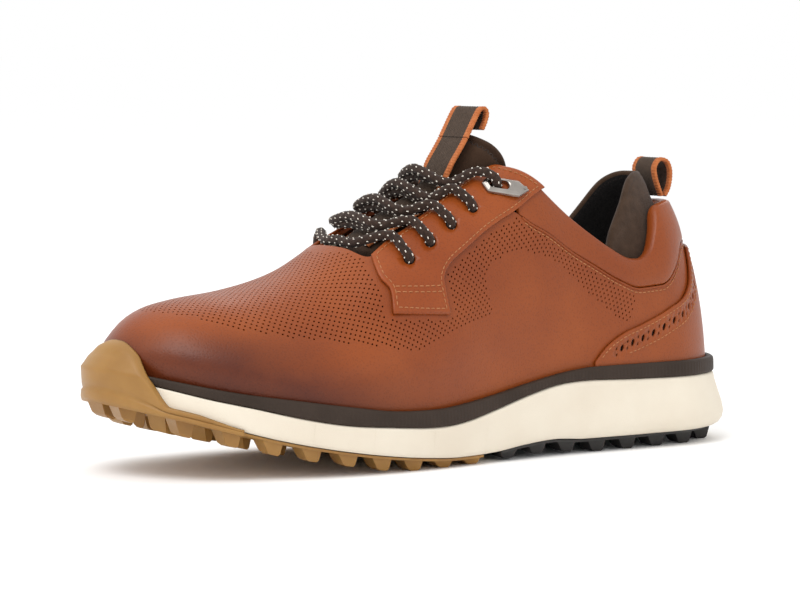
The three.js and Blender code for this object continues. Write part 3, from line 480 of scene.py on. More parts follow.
BUMPER = 3.0
bumper_top = curve([[0.42, 21], [0.436, 23.5], [0.448, 27], [0.456, 31], [0.463, 38], [0.47, 44],
                    [0.477, 49.5], [0.484, 52.5], [0.492, 54.5], [0.5, 55]])
rand_top = curve([[0, 36.8], [66, 36.9], [87, 36.8], [103, 35.1], [122, 31.9], [141, 28.3],
                  [157, 26], [173, 24.8], [195, 25.5], [215, 28.2], [237, 31.6], [263, 35.8], [286, 41],
                  [302, 45]])
sections = []
for u in np.linspace(0.412, 0.588, 121):
    foot, out = plan(u), plan_out(u)
    s = foot[0]
    face = welt(s) + flare(s) + GAP
    spot = foot + out * face
    low = midsole_under(spot[0]) - GAP
    fade = min((fold(u) - 0.408) / 0.03, 1)
    high = max(float(bumper_top(fold(u))), low + 0.5 + 2.0 * fade)
    inner = []
    for t in np.linspace(0, 1, 21):
        z = low + (high - low) * t
        wall = skin(u, level_at(u, max(z, seat(s))), 0.55)
        lean = min(max((z - rand_top(s) - 1) / 6, 0), 1)
        p = np.array([LENGTH / 2 - spot[0], spot[1], z])
        p = p + (wall - p) * lean
        p[2] = z
        inner.append(p)
    inner = np.array(inner)
    push = np.array([-out[0], out[1], 0])
    t = np.linspace(0, 1, 21)
    thick = BUMPER * np.interp(t, [0, 0.05, 0.15, 0.2, 0.3, 0.62, 0.85, 0.95, 1],
                               [0.9, 1.05, 0.98, 0.72, 0.9, 1, 0.98, 0.75, 0.2])
    thick *= 0.25 + 0.75 * fade
    outer = inner + push * thick[:, None]
    outer[:, 2] -= np.interp(t, [0, 0.1, 0.9, 1], [OUTSOLE, 0, 0, 0.25])
    deep = foot + out * -6
    flange = [[LENGTH / 2 - deep[0], deep[1], midsole_under(deep[0]) - GAP - OUTSOLE],
              [LENGTH / 2 - deep[0], deep[1], midsole_under(deep[0]) - GAP]]
    sections.append(np.vstack([flange, inner, outer[::-1]]))
sections = np.array(sections)
faces = grid(len(sections), 44, wrap_columns=True)
faces += [list(range(43, -1, -1)), [120 * 44 + j for j in range(44)]]
piece("toe_bumper", sections, faces, gum, "gum_rubber")

# ---------------------------------------------------------------- rand
# A dark band of rubber moulded round the joint of leather and foam and glued to both. Its wall has
# a fine slanted rib, and its top edge is rounded over against the leather.
dark_rubber = wash("rand_rubber", ((0.030, 0.019, 0.013), (0.043, 0.028, 0.020)), 50, 0.55, 0.3, 2400, shine=0.2)
overlay_room = curve([[0, 2.3], [0.146, 2.3], [0.165, 0.35], [0.5, 0.35]])
tip_inset = curve([[0.43, 0], [0.46, 0.2], [0.5, 0.2]])
sections = []
for i, u in enumerate(np.arange(1400) / 1400):
    foot, out = plan(u), plan_out(u)
    s, w = foot[0], welt(foot[0]) - tip_inset(fold(u))
    room = overlay_room(fold(u))
    low = skin(u, 0.0, room)
    low[2] = seat(s)
    top = skin(u, level_at(u, rand_top(s) - 0.3), room)
    rib = 0.09 * (i % 4 in (1, 2))
    rows = [low]
    for off, up in ((w - 0.5, 0.0), (w + 0.02, 0.5), (w + 0.05 + rib, 1.2), (w + rib, 3.2), (w - 0.05 + rib, 5.0),
                    (w - 0.1, 5.8), (w - 0.45, 6.5), (w - 1.2, 6.95)):
        share = up / 7.0
        p = foot + out * max(off, room + 0.6)
        z = seat(p[0]) + (rand_top(p[0]) - seat(p[0])) * share
        rows.append(np.array([LENGTH / 2 - p[0], p[1], z]))
    rows.append(top)
    sections.append(rows)
piece("rand_band", sections, grid(1400, 10, True, True), dark_rubber, "rand_rubber", stands_for=["rand"])

# ---------------------------------------------------------------- footbed
# A foam insole with a cloth top that lies loose in the shoe on the strobel board. It is cupped a
# little at the heel and its edge is rounded.
LEATHER, COLLAR_PAD, SOCK_WALL, LINING = 1.6, 4.0, 2.6, 1.2
sock_in = LEATHER + COLLAR_PAD + 2 * GAP
padding = curve([[0, COLLAR_PAD], [0.12, COLLAR_PAD], [0.17, 1.5], [0.36, 1.5], [0.42, 2.4], [0.5, 2.4]])
depth = curve([[0, sock_in + SOCK_WALL], [0.13, sock_in + SOCK_WALL], [0.2, 4.9], [0.5, 4.9]])
bed_foam = wash("bed_foam", ((0.012, 0.012, 0.012), (0.03, 0.03, 0.03)), 260, 0.8, 0.7, 1400)
bed_cloth = wash("bed_cloth", ((0.030, 0.020, 0.014), (0.055, 0.038, 0.027)), 500, 0.85, 0.8, 1700, sheen=0.15)


def bed(name, low, high, material, slot, node):
    """A layer cut to the inside of the shoe, between two heights over the seat."""
    u = np.arange(200) / 200
    rings = []
    for inset, up in ((2.6, low), (1.9, low), (1.65, low + 0.25 * (high - low)), (1.65, high - 0.3 * (high - low)),
                      (1.9, high), (3.2, high), (8, high), (14, high)):
        foot = plan(u) - plan_out(u) * (depth(fold(u)) + inset)[:, None]
        rings.append(np.stack([LENGTH / 2 - foot[:, 0], foot[:, 1], seat(foot[:, 0]) + up], -1))
    faces = grid(len(rings), 200, wrap_columns=True)
    last = (len(rings) - 1) * 200
    faces.append(list(range(199, -1, -1)))
    faces += [[last + j, last + j + 1, last + 199 - j - 1, last + 199 - j] for j in range(99)]
    faces.append([last, last + 199, last + 198])
    faces = [f for f in faces if len(set(f)) > 2]
    return piece(name, rings, faces, material, slot, stands_for=[node])


bed("insole_foam", 1.95, 6.2, bed_foam, "footbed_foam", "footbed")
bed("insole_cloth", 6.3, 7.1, bed_cloth, "footbed_cloth", "footbed_cover")

# ---------------------------------------------------------------- lining
# Dark knit cloth glued behind the vamp and quarters and turned at the topline. Only its inside and
# its top edge show, through the mouth of the shoe.
topline = curve([[0, 0.59], [0.05, 0.583], [0.056, 0.573], [0.069, 0.497], [0.08, 0.435],
                 [0.09, 0.415], [0.102, 0.425], [0.116, 0.467], [0.127, 0.507], [0.152, 0.613],
                 [0.168, 0.7], [0.174, 0.747], [0.184, 0.815], [0.19, 0.856], [0.206, 0.86],
                 [0.223, 0.845], [0.244, 0.828], [0.259, 0.798], [0.274, 0.783], [0.283, 0.766],
                 [0.302, 0.744], [0.318, 0.711], [0.34, 0.86], [0.357, 1]])
THROAT = 0.357
lining_cloth = wash("lining_cloth", ((0.012, 0.010, 0.009), (0.022, 0.018, 0.016)), 700, 0.9, 0.6, 2200,
                    sheen=0.1, shine=0.15)


def soft_sheet(us, low, high, outer, inner, rows=14, edge=0.8, ends=True):
    """A sheet with rounded edges; its two sides are given over u, g and the share up it."""
    us = np.asarray(us, float)
    bottom, top, wall = low(us), high(us), wall_at(us)
    span = (top - bottom) * wall
    below, above = edge if isinstance(edge, tuple) else (edge, edge)
    ease = np.array([0, 0.03, 0.12, 0.3, 0.6, 1.0])
    middle = np.linspace(0, 1, rows)[1:-1]
    run = np.concatenate([np.tile(ease * below, (len(us), 1)), below + (span - below - above)[:, None] * middle,
                          span[:, None] - ease[::-1] * above], 1)
    g = bottom[:, None] + run / wall[:, None]
    near = np.clip(np.minimum(run / below, (span[:, None] - run) / above), 0, 1)
    swell = np.sqrt(1 - (1 - near) ** 2)
    if ends:
        side = np.clip(np.minimum(us - us[0], us[-1] - us) * GIRTH / below, 0, 1)
        swell = swell * np.sqrt(1 - (1 - side) ** 2)[:, None]
    swell = np.maximum(swell, 0.04)
    u = np.tile(us[:, None], (1, run.shape[1]))
    share = run / span[:, None]
    a = outer(u, g, share) if callable(outer) else np.full(u.shape, float(outer))
    b = inner(u, g, share) if callable(inner) else np.full(u.shape, float(inner))
    middle, half = (a + b) / 2, (a - b) / 2
    return join_sides(skin(u, g, middle + half * swell), skin(u, g, middle - half * swell))


def join_sides(front, rear):
    """A closed mesh of two like grids; the first half of its faces are the front."""
    n, m = front.shape[:2]
    half = n * m
    faces = grid(n, m)
    faces += [[v + half for v in f[::-1]] for f in faces]
    rim = [i * m for i in range(n)] + [(n - 1) * m + j for j in range(1, m)]
    rim += [i * m + m - 1 for i in range(n - 2, -1, -1)] + [j for j in range(m - 2, 0, -1)]
    for a, b in zip(rim, rim[1:] + rim[:1]):
        faces.append([a, b, b + half, a + half])
    return np.concatenate([front.reshape(-1, 3), rear.reshape(-1, 3)]), faces


def spread(low, high, count, edge=0.8):
    """u samples over a span, close together near its ends."""
    ease = np.array([0, 0.03, 0.12, 0.3, 0.6]) * edge / GIRTH
    middle = np.linspace(low + edge / GIRTH, high - edge / GIRTH, count)
    return np.concatenate([low + ease, middle, high - ease[::-1]])


def lining_in(u):
    return LEATHER + padding(fold(u)) + 2 * GAP


def lining_top(u):
    w = fold(u)
    return np.where(w < THROAT, topline(w) - 0.02, 1.0)


for name, low, high in (("lining_outer_side", 0.137, 0.5), ("lining_inner_side", 0.5, 0.863)):
    points, faces = soft_sheet(np.linspace(low, high, 120), lambda u: u * 0 + 0.045, lining_top,
                               lambda u, g, t: -lining_in(u), lambda u, g, t: -lining_in(u) - LINING, 24, 0.6, False)
    piece(name, points, faces, lining_cloth, "lining_cloth", stands_for=["lining"])

# ---------------------------------------------------------------- stretch collar
# A sock of foam faced with brown knit that stands up behind the heel. It is sewn in under the padded
# collar, its edge is turned over, and a zigzag stitch holds the turning down.
sock_edge = curve([[0, 0.72], [0.03, 0.72], [0.06, 0.69], [0.08, 0.62], [0.1, 0.53], [0.113, 0.45],
                   [0.13, 0.44]])
knit = wash("brown_suede", ((0.042, 0.023, 0.013), (0.062, 0.035, 0.021)), 300, 0.9, 0.7, 2200,
            sheen=0.15, shine=0.12)
# a near-black knit that paints the shade on the sock's inner face
sock_inner_painted_shade = wash("sock_inner_painted_shade", ((0.008, 0.007, 0.007), (0.016, 0.014, 0.013)), 900, 0.9, 0.7, 2400,
                  sheen=0.1, shine=0.15)


def turning(t):
    """How much the turned edge adds to each face."""
    return 0.5 * np.sin(math.pi * np.clip((t - 0.86) / 0.14, 0, 1))


us = spread(-0.13, 0.13, 90, 1.2)
SOCK_ROWS = 30
points, faces = soft_sheet(us, lambda u: u * 0 + 0.06, lambda u: sock_edge(fold(u)),
                           lambda u, g, t: -sock_in + turning(t),
                           lambda u, g, t: -sock_in - SOCK_WALL - turning(t), SOCK_ROWS, 1.3)
sock = piece("sock_collar", points, faces, knit, "stretch_fabric", stands_for=["bootie_collar"])
sock.data.materials.append(sock_inner_painted_shade)
# the inner face is painted near-black up to its turned edge: painted shade for the shadow that falls inside the sock
per_column = SOCK_ROWS - 2 + 12 - 1
quads = (len(us) - 1) * per_column
for poly in sock.data.polygons:
    if quads <= poly.index < 2 * quads and poly.index % per_column < per_column - 5:
        poly.material_index = 1

# ---------------------------------------------------------------- vamp and quarters
# One piece of full-grain calf, burnished dark towards the toe and along the sole, and punched with
# rows of 0.9 mm holes. It is lasted over the form and closed by a seam up the heel.


def leather(name, burnish, grain=1300.0, painted_highlight=0.0):
    """Tan calf: mottled dye, dark burnish low on the toe, fine creases and a soft wax shine."""
    # painted_highlight lightens both dye tones evenly: a painted highlight for leather that catches more light
    tones = [[tone * (1 + painted_highlight) for tone in dye] for dye in ((0.215, 0.040, 0.0045), (0.300, 0.066, 0.0095))]
    made = wash(name, tones, 16, 0.40, 0.16, grain, coat=0.16, detail=8.0, shine=0.24)
    nodes, links = made.node_tree.nodes, made.node_tree.links
    shader = nodes["Principled BSDF"]
    ramp = next(n for n in nodes if n.type == "VALTORGB")
    place = next(n for n in nodes if n.type == "TEX_COORD")
    split = nodes.new("ShaderNodeSeparateXYZ")
    links.new(place.outputs["Object"], split.inputs["Vector"])

    def band(source, low, high):
        node = nodes.new("ShaderNodeMapRange")
        node.interpolation_type = "SMOOTHSTEP"
        node.inputs["From Min"].default_value, node.inputs["From Max"].default_value = low, high
        links.new(source, node.inputs["Value"])
        return node.outputs["Result"]

    def times(a, b, kind="MULTIPLY"):
        node = nodes.new("ShaderNodeMath")
        node.operation = kind
        node.use_clamp = True
        for k, v in enumerate((a, b)):
            if isinstance(v, float):
                node.inputs[k].default_value = v
            else:
                links.new(v, node.inputs[k])
        return node.outputs["Value"]

    toe = times(band(split.outputs["X"], -0.045, -0.125), band(split.outputs["Z"], 0.064, 0.048))
    foot = times(band(split.outputs["Z"], 0.050, 0.030), band(split.outputs["X"], 0.01, -0.09))
    smoke = nodes.new("ShaderNodeTexNoise")
    smoke.inputs["Scale"].default_value = 28
    smoke.inputs["Detail"].default_value = 4
    links.new(place.outputs["Object"], smoke.inputs["Vector"])
    cloud = band(smoke.outputs["Fac"], 0.25, 0.75)
    dark = times(times(toe, times(foot, 0.65), "ADD"), times(times(cloud, 0.35), 0.65, "ADD"))
    dark = times(dark, burnish)
    mix = nodes.new("ShaderNodeMix")
    mix.data_type = "RGBA"
    mix.inputs["B"].default_value = (0.060, 0.009, 0.0035, 1)
    links.new(dark, mix.inputs["Factor"])
    links.new(ramp.outputs["Color"], mix.inputs["A"])
    tone = mix.outputs["Result"]
    # fine pores: a cell pattern that darkens the dye a little and pits the surface
    pores = nodes.new("ShaderNodeTexVoronoi")
    pores.inputs["Scale"].default_value = 900
    links.new(place.outputs["Object"], pores.inputs["Vector"])
    pit = band(pores.outputs["Distance"], 0.0, 0.55)
    veil = nodes.new("ShaderNodeMix")
    veil.data_type = "RGBA"
    veil.blend_type = "MULTIPLY"
    veil.inputs["Factor"].default_value = 0.16
    links.new(tone, veil.inputs["A"])
    links.new(pit, veil.inputs["B"])
    links.new(veil.outputs["Result"], shader.inputs["Base Color"])
    first = next(n for n in nodes if n.type == "BUMP")
    second = nodes.new("ShaderNodeBump")
    second.inputs["Strength"].default_value = 0.22
    second.inputs["Distance"].default_value = 0.0003
    links.new(pit, second.inputs["Height"])
    links.new(first.outputs["Normal"], second.inputs["Normal"])
    links.new(second.outputs["Normal"], shader.inputs["Normal"])
    return made


calf = leather("burnished_calf", 1.0)
collar_seam = curve([[0, 0.445], [0.03, 0.44], [0.041, 0.427], [0.057, 0.36], [0.076, 0.311],
                     [0.096, 0.311], [0.115, 0.346], [0.133, 0.399], [0.17, 0.521], [0.195, 0.641],
                     [0.21, 0.79]])
COLLAR_END = 0.195
hidden_edge = curve([[COLLAR_END, 0.637], [0.205, 0.69], [0.215, 0.757], [0.225, 0.81], [0.235, 0.836]])


def quarter_top(w):
    """The quarter's upper edge: under the collar, under the eyestay, then at the topline."""
    return np.where(w < COLLAR_END, collar_seam(w) - 0.004, np.where(w < 0.235, hidden_edge(w), topline(w)))


def flat(u, g):
    """Where a point of the upper lies on the hide, with the wall laid out flat from the crown line."""
    c = spine_at(u)
    return c + unit(plan(u) - c) * ((1 - np.asarray(g)) * wall_at(u))[..., None]


def lay_up(points):
    """u and g of points on the flat hide."""
    points = np.asarray(points, float)
    outer = points[:, 1] < spine_y(points[:, 0])
    low, high = np.where(outer, 0.0, 0.5), np.where(outer, 0.5, 1.0)
    for _ in range(34):
        mid = (low + high) / 2
        c, foot = spine_at(mid), plan(mid)
        ray, to = foot - c, points - c
        ahead_of = ray[:, 0] * to[:, 1] - ray[:, 1] * to[:, 0] < 0
        low, high = np.where(ahead_of, low, mid), np.where(ahead_of, mid, high)
    u = (low + high) / 2
    c, foot = spine_at(u), plan(u)
    return u, 1 - np.linalg.norm(points - c, axis=1) / wall_at(u)


probe_u = np.array([0.2, 0.3, 0.7, 0.45])
probe_g = np.array([0.3, 0.6, 0.5, 0.7])
if abs(lay_up(flat(probe_u, probe_g))[0] - probe_u).max() > 0.01:
    raise RuntimeError("the hide doesn't lay up")


def inside(points, loop):
    """Whether each point is inside a closed outline."""
    x, y = points[:, 0], points[:, 1]
    hit = np.zeros(len(points), bool)
    for (x0, y0), (x1, y1) in zip(loop, np.roll(loop, -1, 0)):
        cross = (y0 > y) != (y1 > y)
        if y0 != y1:
            hit ^= cross & (x < (x1 - x0) * (y - y0) / (y1 - y0) + x0)
    return hit


def edge_distance(points, loop):
    """How far each point is from a closed outline."""
    near = np.full(len(points), 1e9)
    for a, b in zip(loop, np.roll(loop, -1, 0)):
        d = b - a
        t = np.clip(((points - a) @ d) / max(d @ d, 1e-9), 0, 1)
        near = np.minimum(near, np.linalg.norm(points - (a + t[:, None] * d), axis=1))
    return near


def far_from(points, loop, reach):
    return edge_distance(points, loop) > reach


def cut_leather(name, loop, holes, support, front, thick, material, stands_for=(), rim=0.0):
    """Leather cut to an outline on the flat hide, punched, and laid on the form.

    loop is the outline and holes are (x, y, radius, corners); support is the spacing of the points
    between them; front is the height of its face over the form.
    """
    loop = np.asarray(loop, float)
    chunks, owner = [loop], [np.full(len(loop), -1)]
    edges = [(i, (i + 1) % len(loop)) for i in range(len(loop))]
    total = len(loop)
    for k, (x, y, r, corners) in enumerate(holes):
        a = np.arange(corners) / corners * 2 * math.pi + 0.3
        chunks.append(np.stack([x + r * np.cos(a), y + r * np.sin(a)], -1))
        edges += [(total + i, total + (i + 1) % corners) for i in range(corners)]
        owner.append(np.full(corners, k))
        total += corners
    low, high = loop.min(0), loop.max(0)
    columns, rows = (np.arange(low[k], high[k], support) for k in (0, 1))
    net = np.stack(np.meshgrid(columns, rows), -1).reshape(-1, 2)
    net[:, 0] += 0.21 * support * np.sin(net[:, 1] * 7.7)
    net = net[inside(net, loop)]
    net = net[far_from(net, loop, support * 0.3 if not rim else rim * 1.6)]
    if len(holes):
        tree = KDTree(len(holes))
        for k, hole in enumerate(holes):
            tree.insert((hole[0], hole[1], 0), k)
        tree.balance()
        found = [tree.find((x, y, 0)) for x, y in net]
        net = net[np.array([d > holes[k][2] + 0.7 for _, k, d in found], bool)]
    chunks.append(net)
    owner.append(np.full(len(net), -2))
    if rim:
        d = np.roll(loop, -1, 0) - np.roll(loop, 1, 0)
        inward = np.stack([-d[:, 1], d[:, 0]], -1) / (np.linalg.norm(d, axis=1)[:, None] + 1e-9)
        for reach in (rim * 0.25, rim):
            for sign in (1, -1):
                offset = loop + inward * reach * sign
                good = inside(offset, loop) & far_from(offset, loop, reach * 0.9)
                chunks.append(offset[good])
                owner.append(np.full(good.sum(), -2))
    flat_points = np.concatenate(chunks)
    owner = np.concatenate(owner)
    got, _, triangles, origin, _, _ = delaunay_2d_cdt([Vector(p) for p in flat_points], edges, [], 1, 1e-4)
    spots = np.array([[p.x, p.y] for p in got])
    tag = np.array([owner[o[0]] if o else -2 for o in origin])
    tri = np.array([t for t in triangles if len(t) == 3])
    same = (tag[tri[:, 0]] == tag[tri[:, 1]]) & (tag[tri[:, 1]] == tag[tri[:, 2]]) & (tag[tri[:, 0]] >= 0)
    tri = tri[~same]
    tri = tri[inside(spots[tri].mean(1), loop)]
    used = np.unique(tri)
    renumber = np.full(len(spots), -1)
    renumber[used] = np.arange(len(used))
    tri, spots = renumber[tri], spots[used]
    u, g = lay_up(spots)
    g = np.clip(g, 0, 1)
    normal = skin_normal(u, g)
    lift = np.full(len(u), float(front))
    if rim:
        near = np.clip(edge_distance(spots, loop) / rim, 0, 1)
        lift -= rim * 0.7 * (1 - np.sqrt(1 - (1 - near) ** 2))
    base = look_up(form, u, g)
    outer, inner = base + normal * lift[:, None], base + normal * (front - thick)
    a, b, c = outer[tri[:, 0]], outer[tri[:, 1]], outer[tri[:, 2]]
    wrong = (np.cross(b - a, c - a) * normal[tri[:, 0]]).sum(1) < 0
    tri[wrong] = tri[wrong][:, ::-1]
    n = len(outer)
    pairs = np.concatenate([tri[:, [0, 1]], tri[:, [1, 2]], tri[:, [2, 0]]])
    known = {(int(a), int(b)) for a, b in pairs}
    walls = [[int(b), int(a), int(a) + n, int(b) + n] for a, b in pairs if (int(b), int(a)) not in known]
    faces = tri.tolist() + (tri[:, ::-1] + n).tolist() + walls
    mesh = bpy.data.meshes.new(name)
    mesh.from_pydata((np.concatenate([outer, inner]) * 0.001).tolist(), [], faces)
    mesh.materials.append(material)
    mesh.shade_smooth()
    if not rim:
        split = np.zeros((len(mesh.loops), 3))
        corner = np.zeros(len(mesh.loops), int)
        mesh.loops.foreach_get("vertex_index", corner)
        bend = np.concatenate([normal, -normal])
        split[:6 * len(tri)] = bend[corner[:6 * len(tri)]]
        for poly in mesh.polygons[2 * len(tri):]:
            for k in poly.loop_indices:
                split[k] = poly.normal
        mesh.normals_split_custom_set(split.tolist())
    made = bpy.data.objects.new(name, mesh)
    bpy.context.scene.collection.objects.link(made)
    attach(made, "shoe")
    if stands_for:
        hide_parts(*stands_for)
    return made


# the punched field: the whole vamp, a band behind the eyestays and a band under the collar
PUNCH_LOOP = np.array([
    [0.5, 0.452], [0.476, 0.444], [0.455, 0.419], [0.439, 0.411], [0.413, 0.384], [0.387, 0.374],
    [0.364, 0.360], [0.338, 0.330], [0.310, 0.292], [0.281, 0.275], [0.254, 0.238], [0.241, 0.220],
    [0.227, 0.213], [0.227, 0.261], [0.228, 0.351], [0.231, 0.421], [0.229, 0.495], [0.221, 0.518],
    [0.208, 0.515], [0.199, 0.522], [0.181, 0.462], [0.170, 0.433], [0.159, 0.385], [0.148, 0.331],
    [0.134, 0.273], [0.121, 0.216], [0.110, 0.188], [0.088, 0.208], [0.060, 0.266], [0.066, 0.290],
    [0.096, 0.286], [0.115, 0.321], [0.133, 0.374], [0.170, 0.496], [0.190, 0.603], [0.198, 0.632],
    [0.222, 0.611], [0.253, 0.556], [0.262, 0.532], [0.261, 0.474], [0.261, 0.371], [0.314, 0.412],
    [0.3145, 0.528], [0.320, 0.578], [0.3225, 0.640], [0.3245, 0.712], [0.345, 0.85], [0.365, 0.97],
    [0.372, 1.02], [0.5, 1.02]])
PITCH_ALONG, PITCH_ACROSS, PUNCH = 3.05, 1.5, 0.46
spots = []
for row, x in enumerate(np.arange(30.0, 296.0, PITCH_ALONG / 2)):
    for y in np.arange(-75.0, 85.0, 2 * PITCH_ACROSS):
        spots.append([x, y + PITCH_ACROSS * (row % 2)])
spots = np.array(spots)
u, g = lay_up(spots)
w = fold(u)
field = inside(np.stack([w, g], -1), PUNCH_LOOP) & (g > 0.05)
field &= ~((u > 0.45) & (u < 0.55) & (g < 0.45))
punches = [(x, y, PUNCH, 7) for x, y in spots[field]]

# throat edge stops short of the crown line at its middle, and the heel seam is a hairline
bottom = np.linspace(0.0004, 0.9996, 520)
rise_us = np.linspace(0.0004, THROAT, 230)
top_inner = [(1 - v, float(quarter_top(v))) for v in rise_us]
top_outer = [(v, float(quarter_top(v))) for v in rise_us[::-1]]
rim_ug = [(v, 0.0) for v in bottom] + top_inner + top_outer[1:]
rim_ug = np.array(rim_ug)
hide = flat(rim_ug[:, 0], rim_ug[:, 1])
LACE_HOLES = [(0.29, 0.625), (0.271, 0.663), (0.251, 0.696), (0.23, 0.724), (0.205, 0.759)]
for v, level in LACE_HOLES[:4]:
    for u in (v, 1 - v):
        punches.append((*flat(np.array(u), np.array(level)), 2.6, 20))
vamp = cut_leather("vamp_and_quarters", hide, punches, 4.2, 0.0, LEATHER, calf, ["vamp_quarter"])

# ---------------------------------------------------------------- padded collar
# Smooth calf stitched to the quarters below and rolled over soft foam at the topline. The roll is
# fattest behind the heel and runs out flat under the eyestays.
smooth_calf = leather("collar_calf", 0.4)
thread = wash("tan_thread", ((0.34, 0.130, 0.050), (0.46, 0.190, 0.080)), 600, 0.6, 0.5, 3000, shine=0.2)
puff = curve([[0, 0.3], [0.02, 0.5], [0.05, 1.5], [0.07, 2.0], [0.1, 1.7], [0.14, 0.8], [0.165, 0.25], [0.2, 0.1]])
us = spread(-COLLAR_END, COLLAR_END, 190)
points, faces = soft_sheet(
    us, lambda u: collar_seam(fold(u)) - 0.001, lambda u: topline(fold(u)),
    lambda u, g, t: 0.35 + puff(fold(u)) * np.sin(math.pi * np.clip(t, 0, 1) ** 0.85) ** 0.8,
    lambda u, g, t: -LEATHER - padding(fold(u)) + 0.5 * np.clip((0.16 - fold(u)) / 0.05, 0, 1), 22, (1.1, 1.9))
collar = piece("collar_roll", points, faces, smooth_calf, "collar_leather",
               stands_for=["collar_leather", "collar_foam"])


def trail(ug, off, per_span=14, smooth=True):
    """A line over the upper as points and normals."""
    ug = through(ug, per_span) if smooth else np.asarray(ug, float)
    return skin(ug[:, 0], ug[:, 1], off), skin_normal(ug[:, 0], ug[:, 1])


def sew(name, starts, stops, normals, material, slot, radius=0.3, body="shoe"):
    """Raised stitches from starts to stops, each dipping into the leather at both ends."""
    starts, stops, normals = (np.asarray(v, float) for v in (starts, stops, normals))
    steps = np.array([0, 0.12, 0.32, 0.68, 0.88, 1.0])
    sink = np.array([-0.7, 0.05, 0.45, 0.45, 0.05, -0.7]) * radius
    girth = np.array([0.45, 0.85, 1.0, 1.0, 0.85, 0.45]) * radius
    run = stops - starts
    side = unit(np.cross(run, normals))
    centre = starts[:, None] + run[:, None] * steps[:, None] + normals[:, None] * sink[:, None]
    a = np.arange(6) / 6 * 2 * math.pi
    ringed = (centre[:, :, None] + side[:, None, None] * (girth[:, None] * np.cos(a))[None, :, :, None]
              + normals[:, None, None] * (girth[:, None] * np.sin(a))[None, :, :, None])
    faces = []
    for k in range(len(starts)):
        base = k * 36
        faces += grid(6, 6, wrap_columns=True, start=base)
        faces += [[base + j for j in range(5, -1, -1)], [base + 30 + j for j in range(6)]]
    return piece(name, ringed, faces, material, slot, body)


def running(name, line, material, slot, pitch=2.5, share=0.74, radius=0.3, body="shoe"):
    """A row of running stitches along a line."""
    path, normals = line
    run = lengths(path)
    count = int(run[-1] / pitch)
    a = (np.arange(count) + 0.5 * (1 - share)) * run[-1] / count
    b = a + share * run[-1] / count
    return sew(name, read_at(a, run, path), read_at(b, run, path), read_at((a + b) / 2, run, normals), material, slot,
               radius, body)


seam_w = np.linspace(0.0, 0.192, 60)
seam_w = seam_w[seam_w > 0.028]
seam_g = collar_seam(seam_w) - 0.017
for name, row in (("collar_stitches_inner", np.stack([-seam_w, seam_g], -1)[::-1]),
                  ("collar_stitches_outer", np.stack([seam_w, seam_g], -1))):
    running(name, trail(row, 0.06, 4), thread, "overlay_leather", 2.3, 0.76, 0.26)
# the quarter's turned edge stands up as a fine welt along the seam
for name, sign in (("collar_welt_outer", 1), ("collar_welt_inner", -1)):
    ws = np.linspace(0.0, 0.193, 160)
    path, normals = trail(np.stack([sign * ws, collar_seam(ws) - 0.004], -1), 0.0, 1)
    side = unit(np.cross(np.gradient(path, axis=0), normals))
    a = (np.arange(8) / 8 * 2 * math.pi)[None, :, None]
    ringed = path[:, None] + 0.55 * (side[:, None] * np.cos(a) + normals[:, None] * np.sin(a))
    faces = grid(len(ws), 8, wrap_columns=True)
    faces += [list(range(8)), [(len(ws) - 1) * 8 + j for j in range(7, -1, -1)]]
    piece(name, ringed, faces, smooth_calf, "collar_leather")

# ---------------------------------------------------------------- heel overlay
# A brogued calf cap that wraps the heel and climbs it as a backstay. Large and small holes over a
# dark underlay follow its edge, with a stitch row on each side of them.
overlay_calf = leather("overlay_calf", 0.55)
heel_edge = curve([[0, 0.425], [0.028, 0.415], [0.036, 0.36], [0.043, 0.31], [0.053, 0.269],
                   [0.074, 0.228], [0.101, 0.184], [0.119, 0.155], [0.136, 0.096], [0.142, 0.06]])
OVERLAY = 1.4
edge_u = np.linspace(-0.142, 0.142, 300)
heel_loop = np.concatenate([np.stack([edge_u, heel_edge(np.abs(edge_u))], -1),
                            np.stack([edge_u[::-3], edge_u[::-3] * 0 + 0.004], -1)])


def inset_line(reach, low, high, count=200):
    """A line at a steady distance below the overlay's edge, as u and g, over a span of u."""
    u = np.linspace(low, high, count)
    p = flat(u, heel_edge(np.abs(u)))
    d = np.gradient(p, axis=0)
    n = np.stack([d[:, 1], -d[:, 0]], -1) / np.linalg.norm(d, axis=1)[:, None]
    moved = p + n * reach
    if lay_up(moved)[1].mean() > heel_edge(np.abs(u)).mean():
        moved = p - n * reach
    return moved


def every(line, pitch, start):
    """Spots at a steady pitch along a flat line, and the direction across it at each."""
    run = lengths(line)
    at = np.arange(start, run[-1], pitch)
    spot = read_at(at, run, line)
    d = read_at(at + 0.1, run, line) - spot
    return spot, np.stack([-d[:, 1], d[:, 0]], -1) / (np.linalg.norm(d, axis=1)[:, None] + 1e-9)


brogue = []
for low, high in ((0.034, 0.128), (-0.128, -0.034)):
    middle = inset_line(5.3, low, high)
    for (x, y), _ in zip(*every(middle, 7.4, 2.0)):
        brogue.append((x, y, 1.35, 16))
    for (x, y), (nx, ny) in zip(*every(middle, 7.4, 5.7)):
        brogue += [(x + nx * 1.3, y + ny * 1.3, 0.62, 10), (x - nx * 1.3, y - ny * 1.3, 0.62, 10)]
cut_leather("heel_cap", flat(heel_loop[:, 0], heel_loop[:, 1]), brogue, 3.4, GAP + OVERLAY, OVERLAY, overlay_calf,
            ["heel_overlay"], rim=0.6)
underlay = wash("dark_underlay", ((0.012, 0.005, 0.003), (0.02, 0.009, 0.005)), 300, 0.8, 0.4, 2000)
for name, low, high in (("brogue_underlay_outer", 0.036, 0.126), ("brogue_underlay_inner", 0.874, 0.964)):
    us = np.linspace(low, high, 60)
    points, faces = soft_sheet(us, lambda u: heel_edge(fold(u)) - 9.0 / wall_at(u),
                               lambda u: heel_edge(fold(u)) - 2.0 / wall_at(u), 0.27, 0.08, 6, 0.2)
    piece(name, points, faces, underlay, "overlay_leather")
rows = ((1.6, 0.03, 0.138), (1.6, -0.138, -0.03), (8.9, 0.04, 0.112), (8.9, -0.112, -0.04), (1.6, -0.027, 0.027))
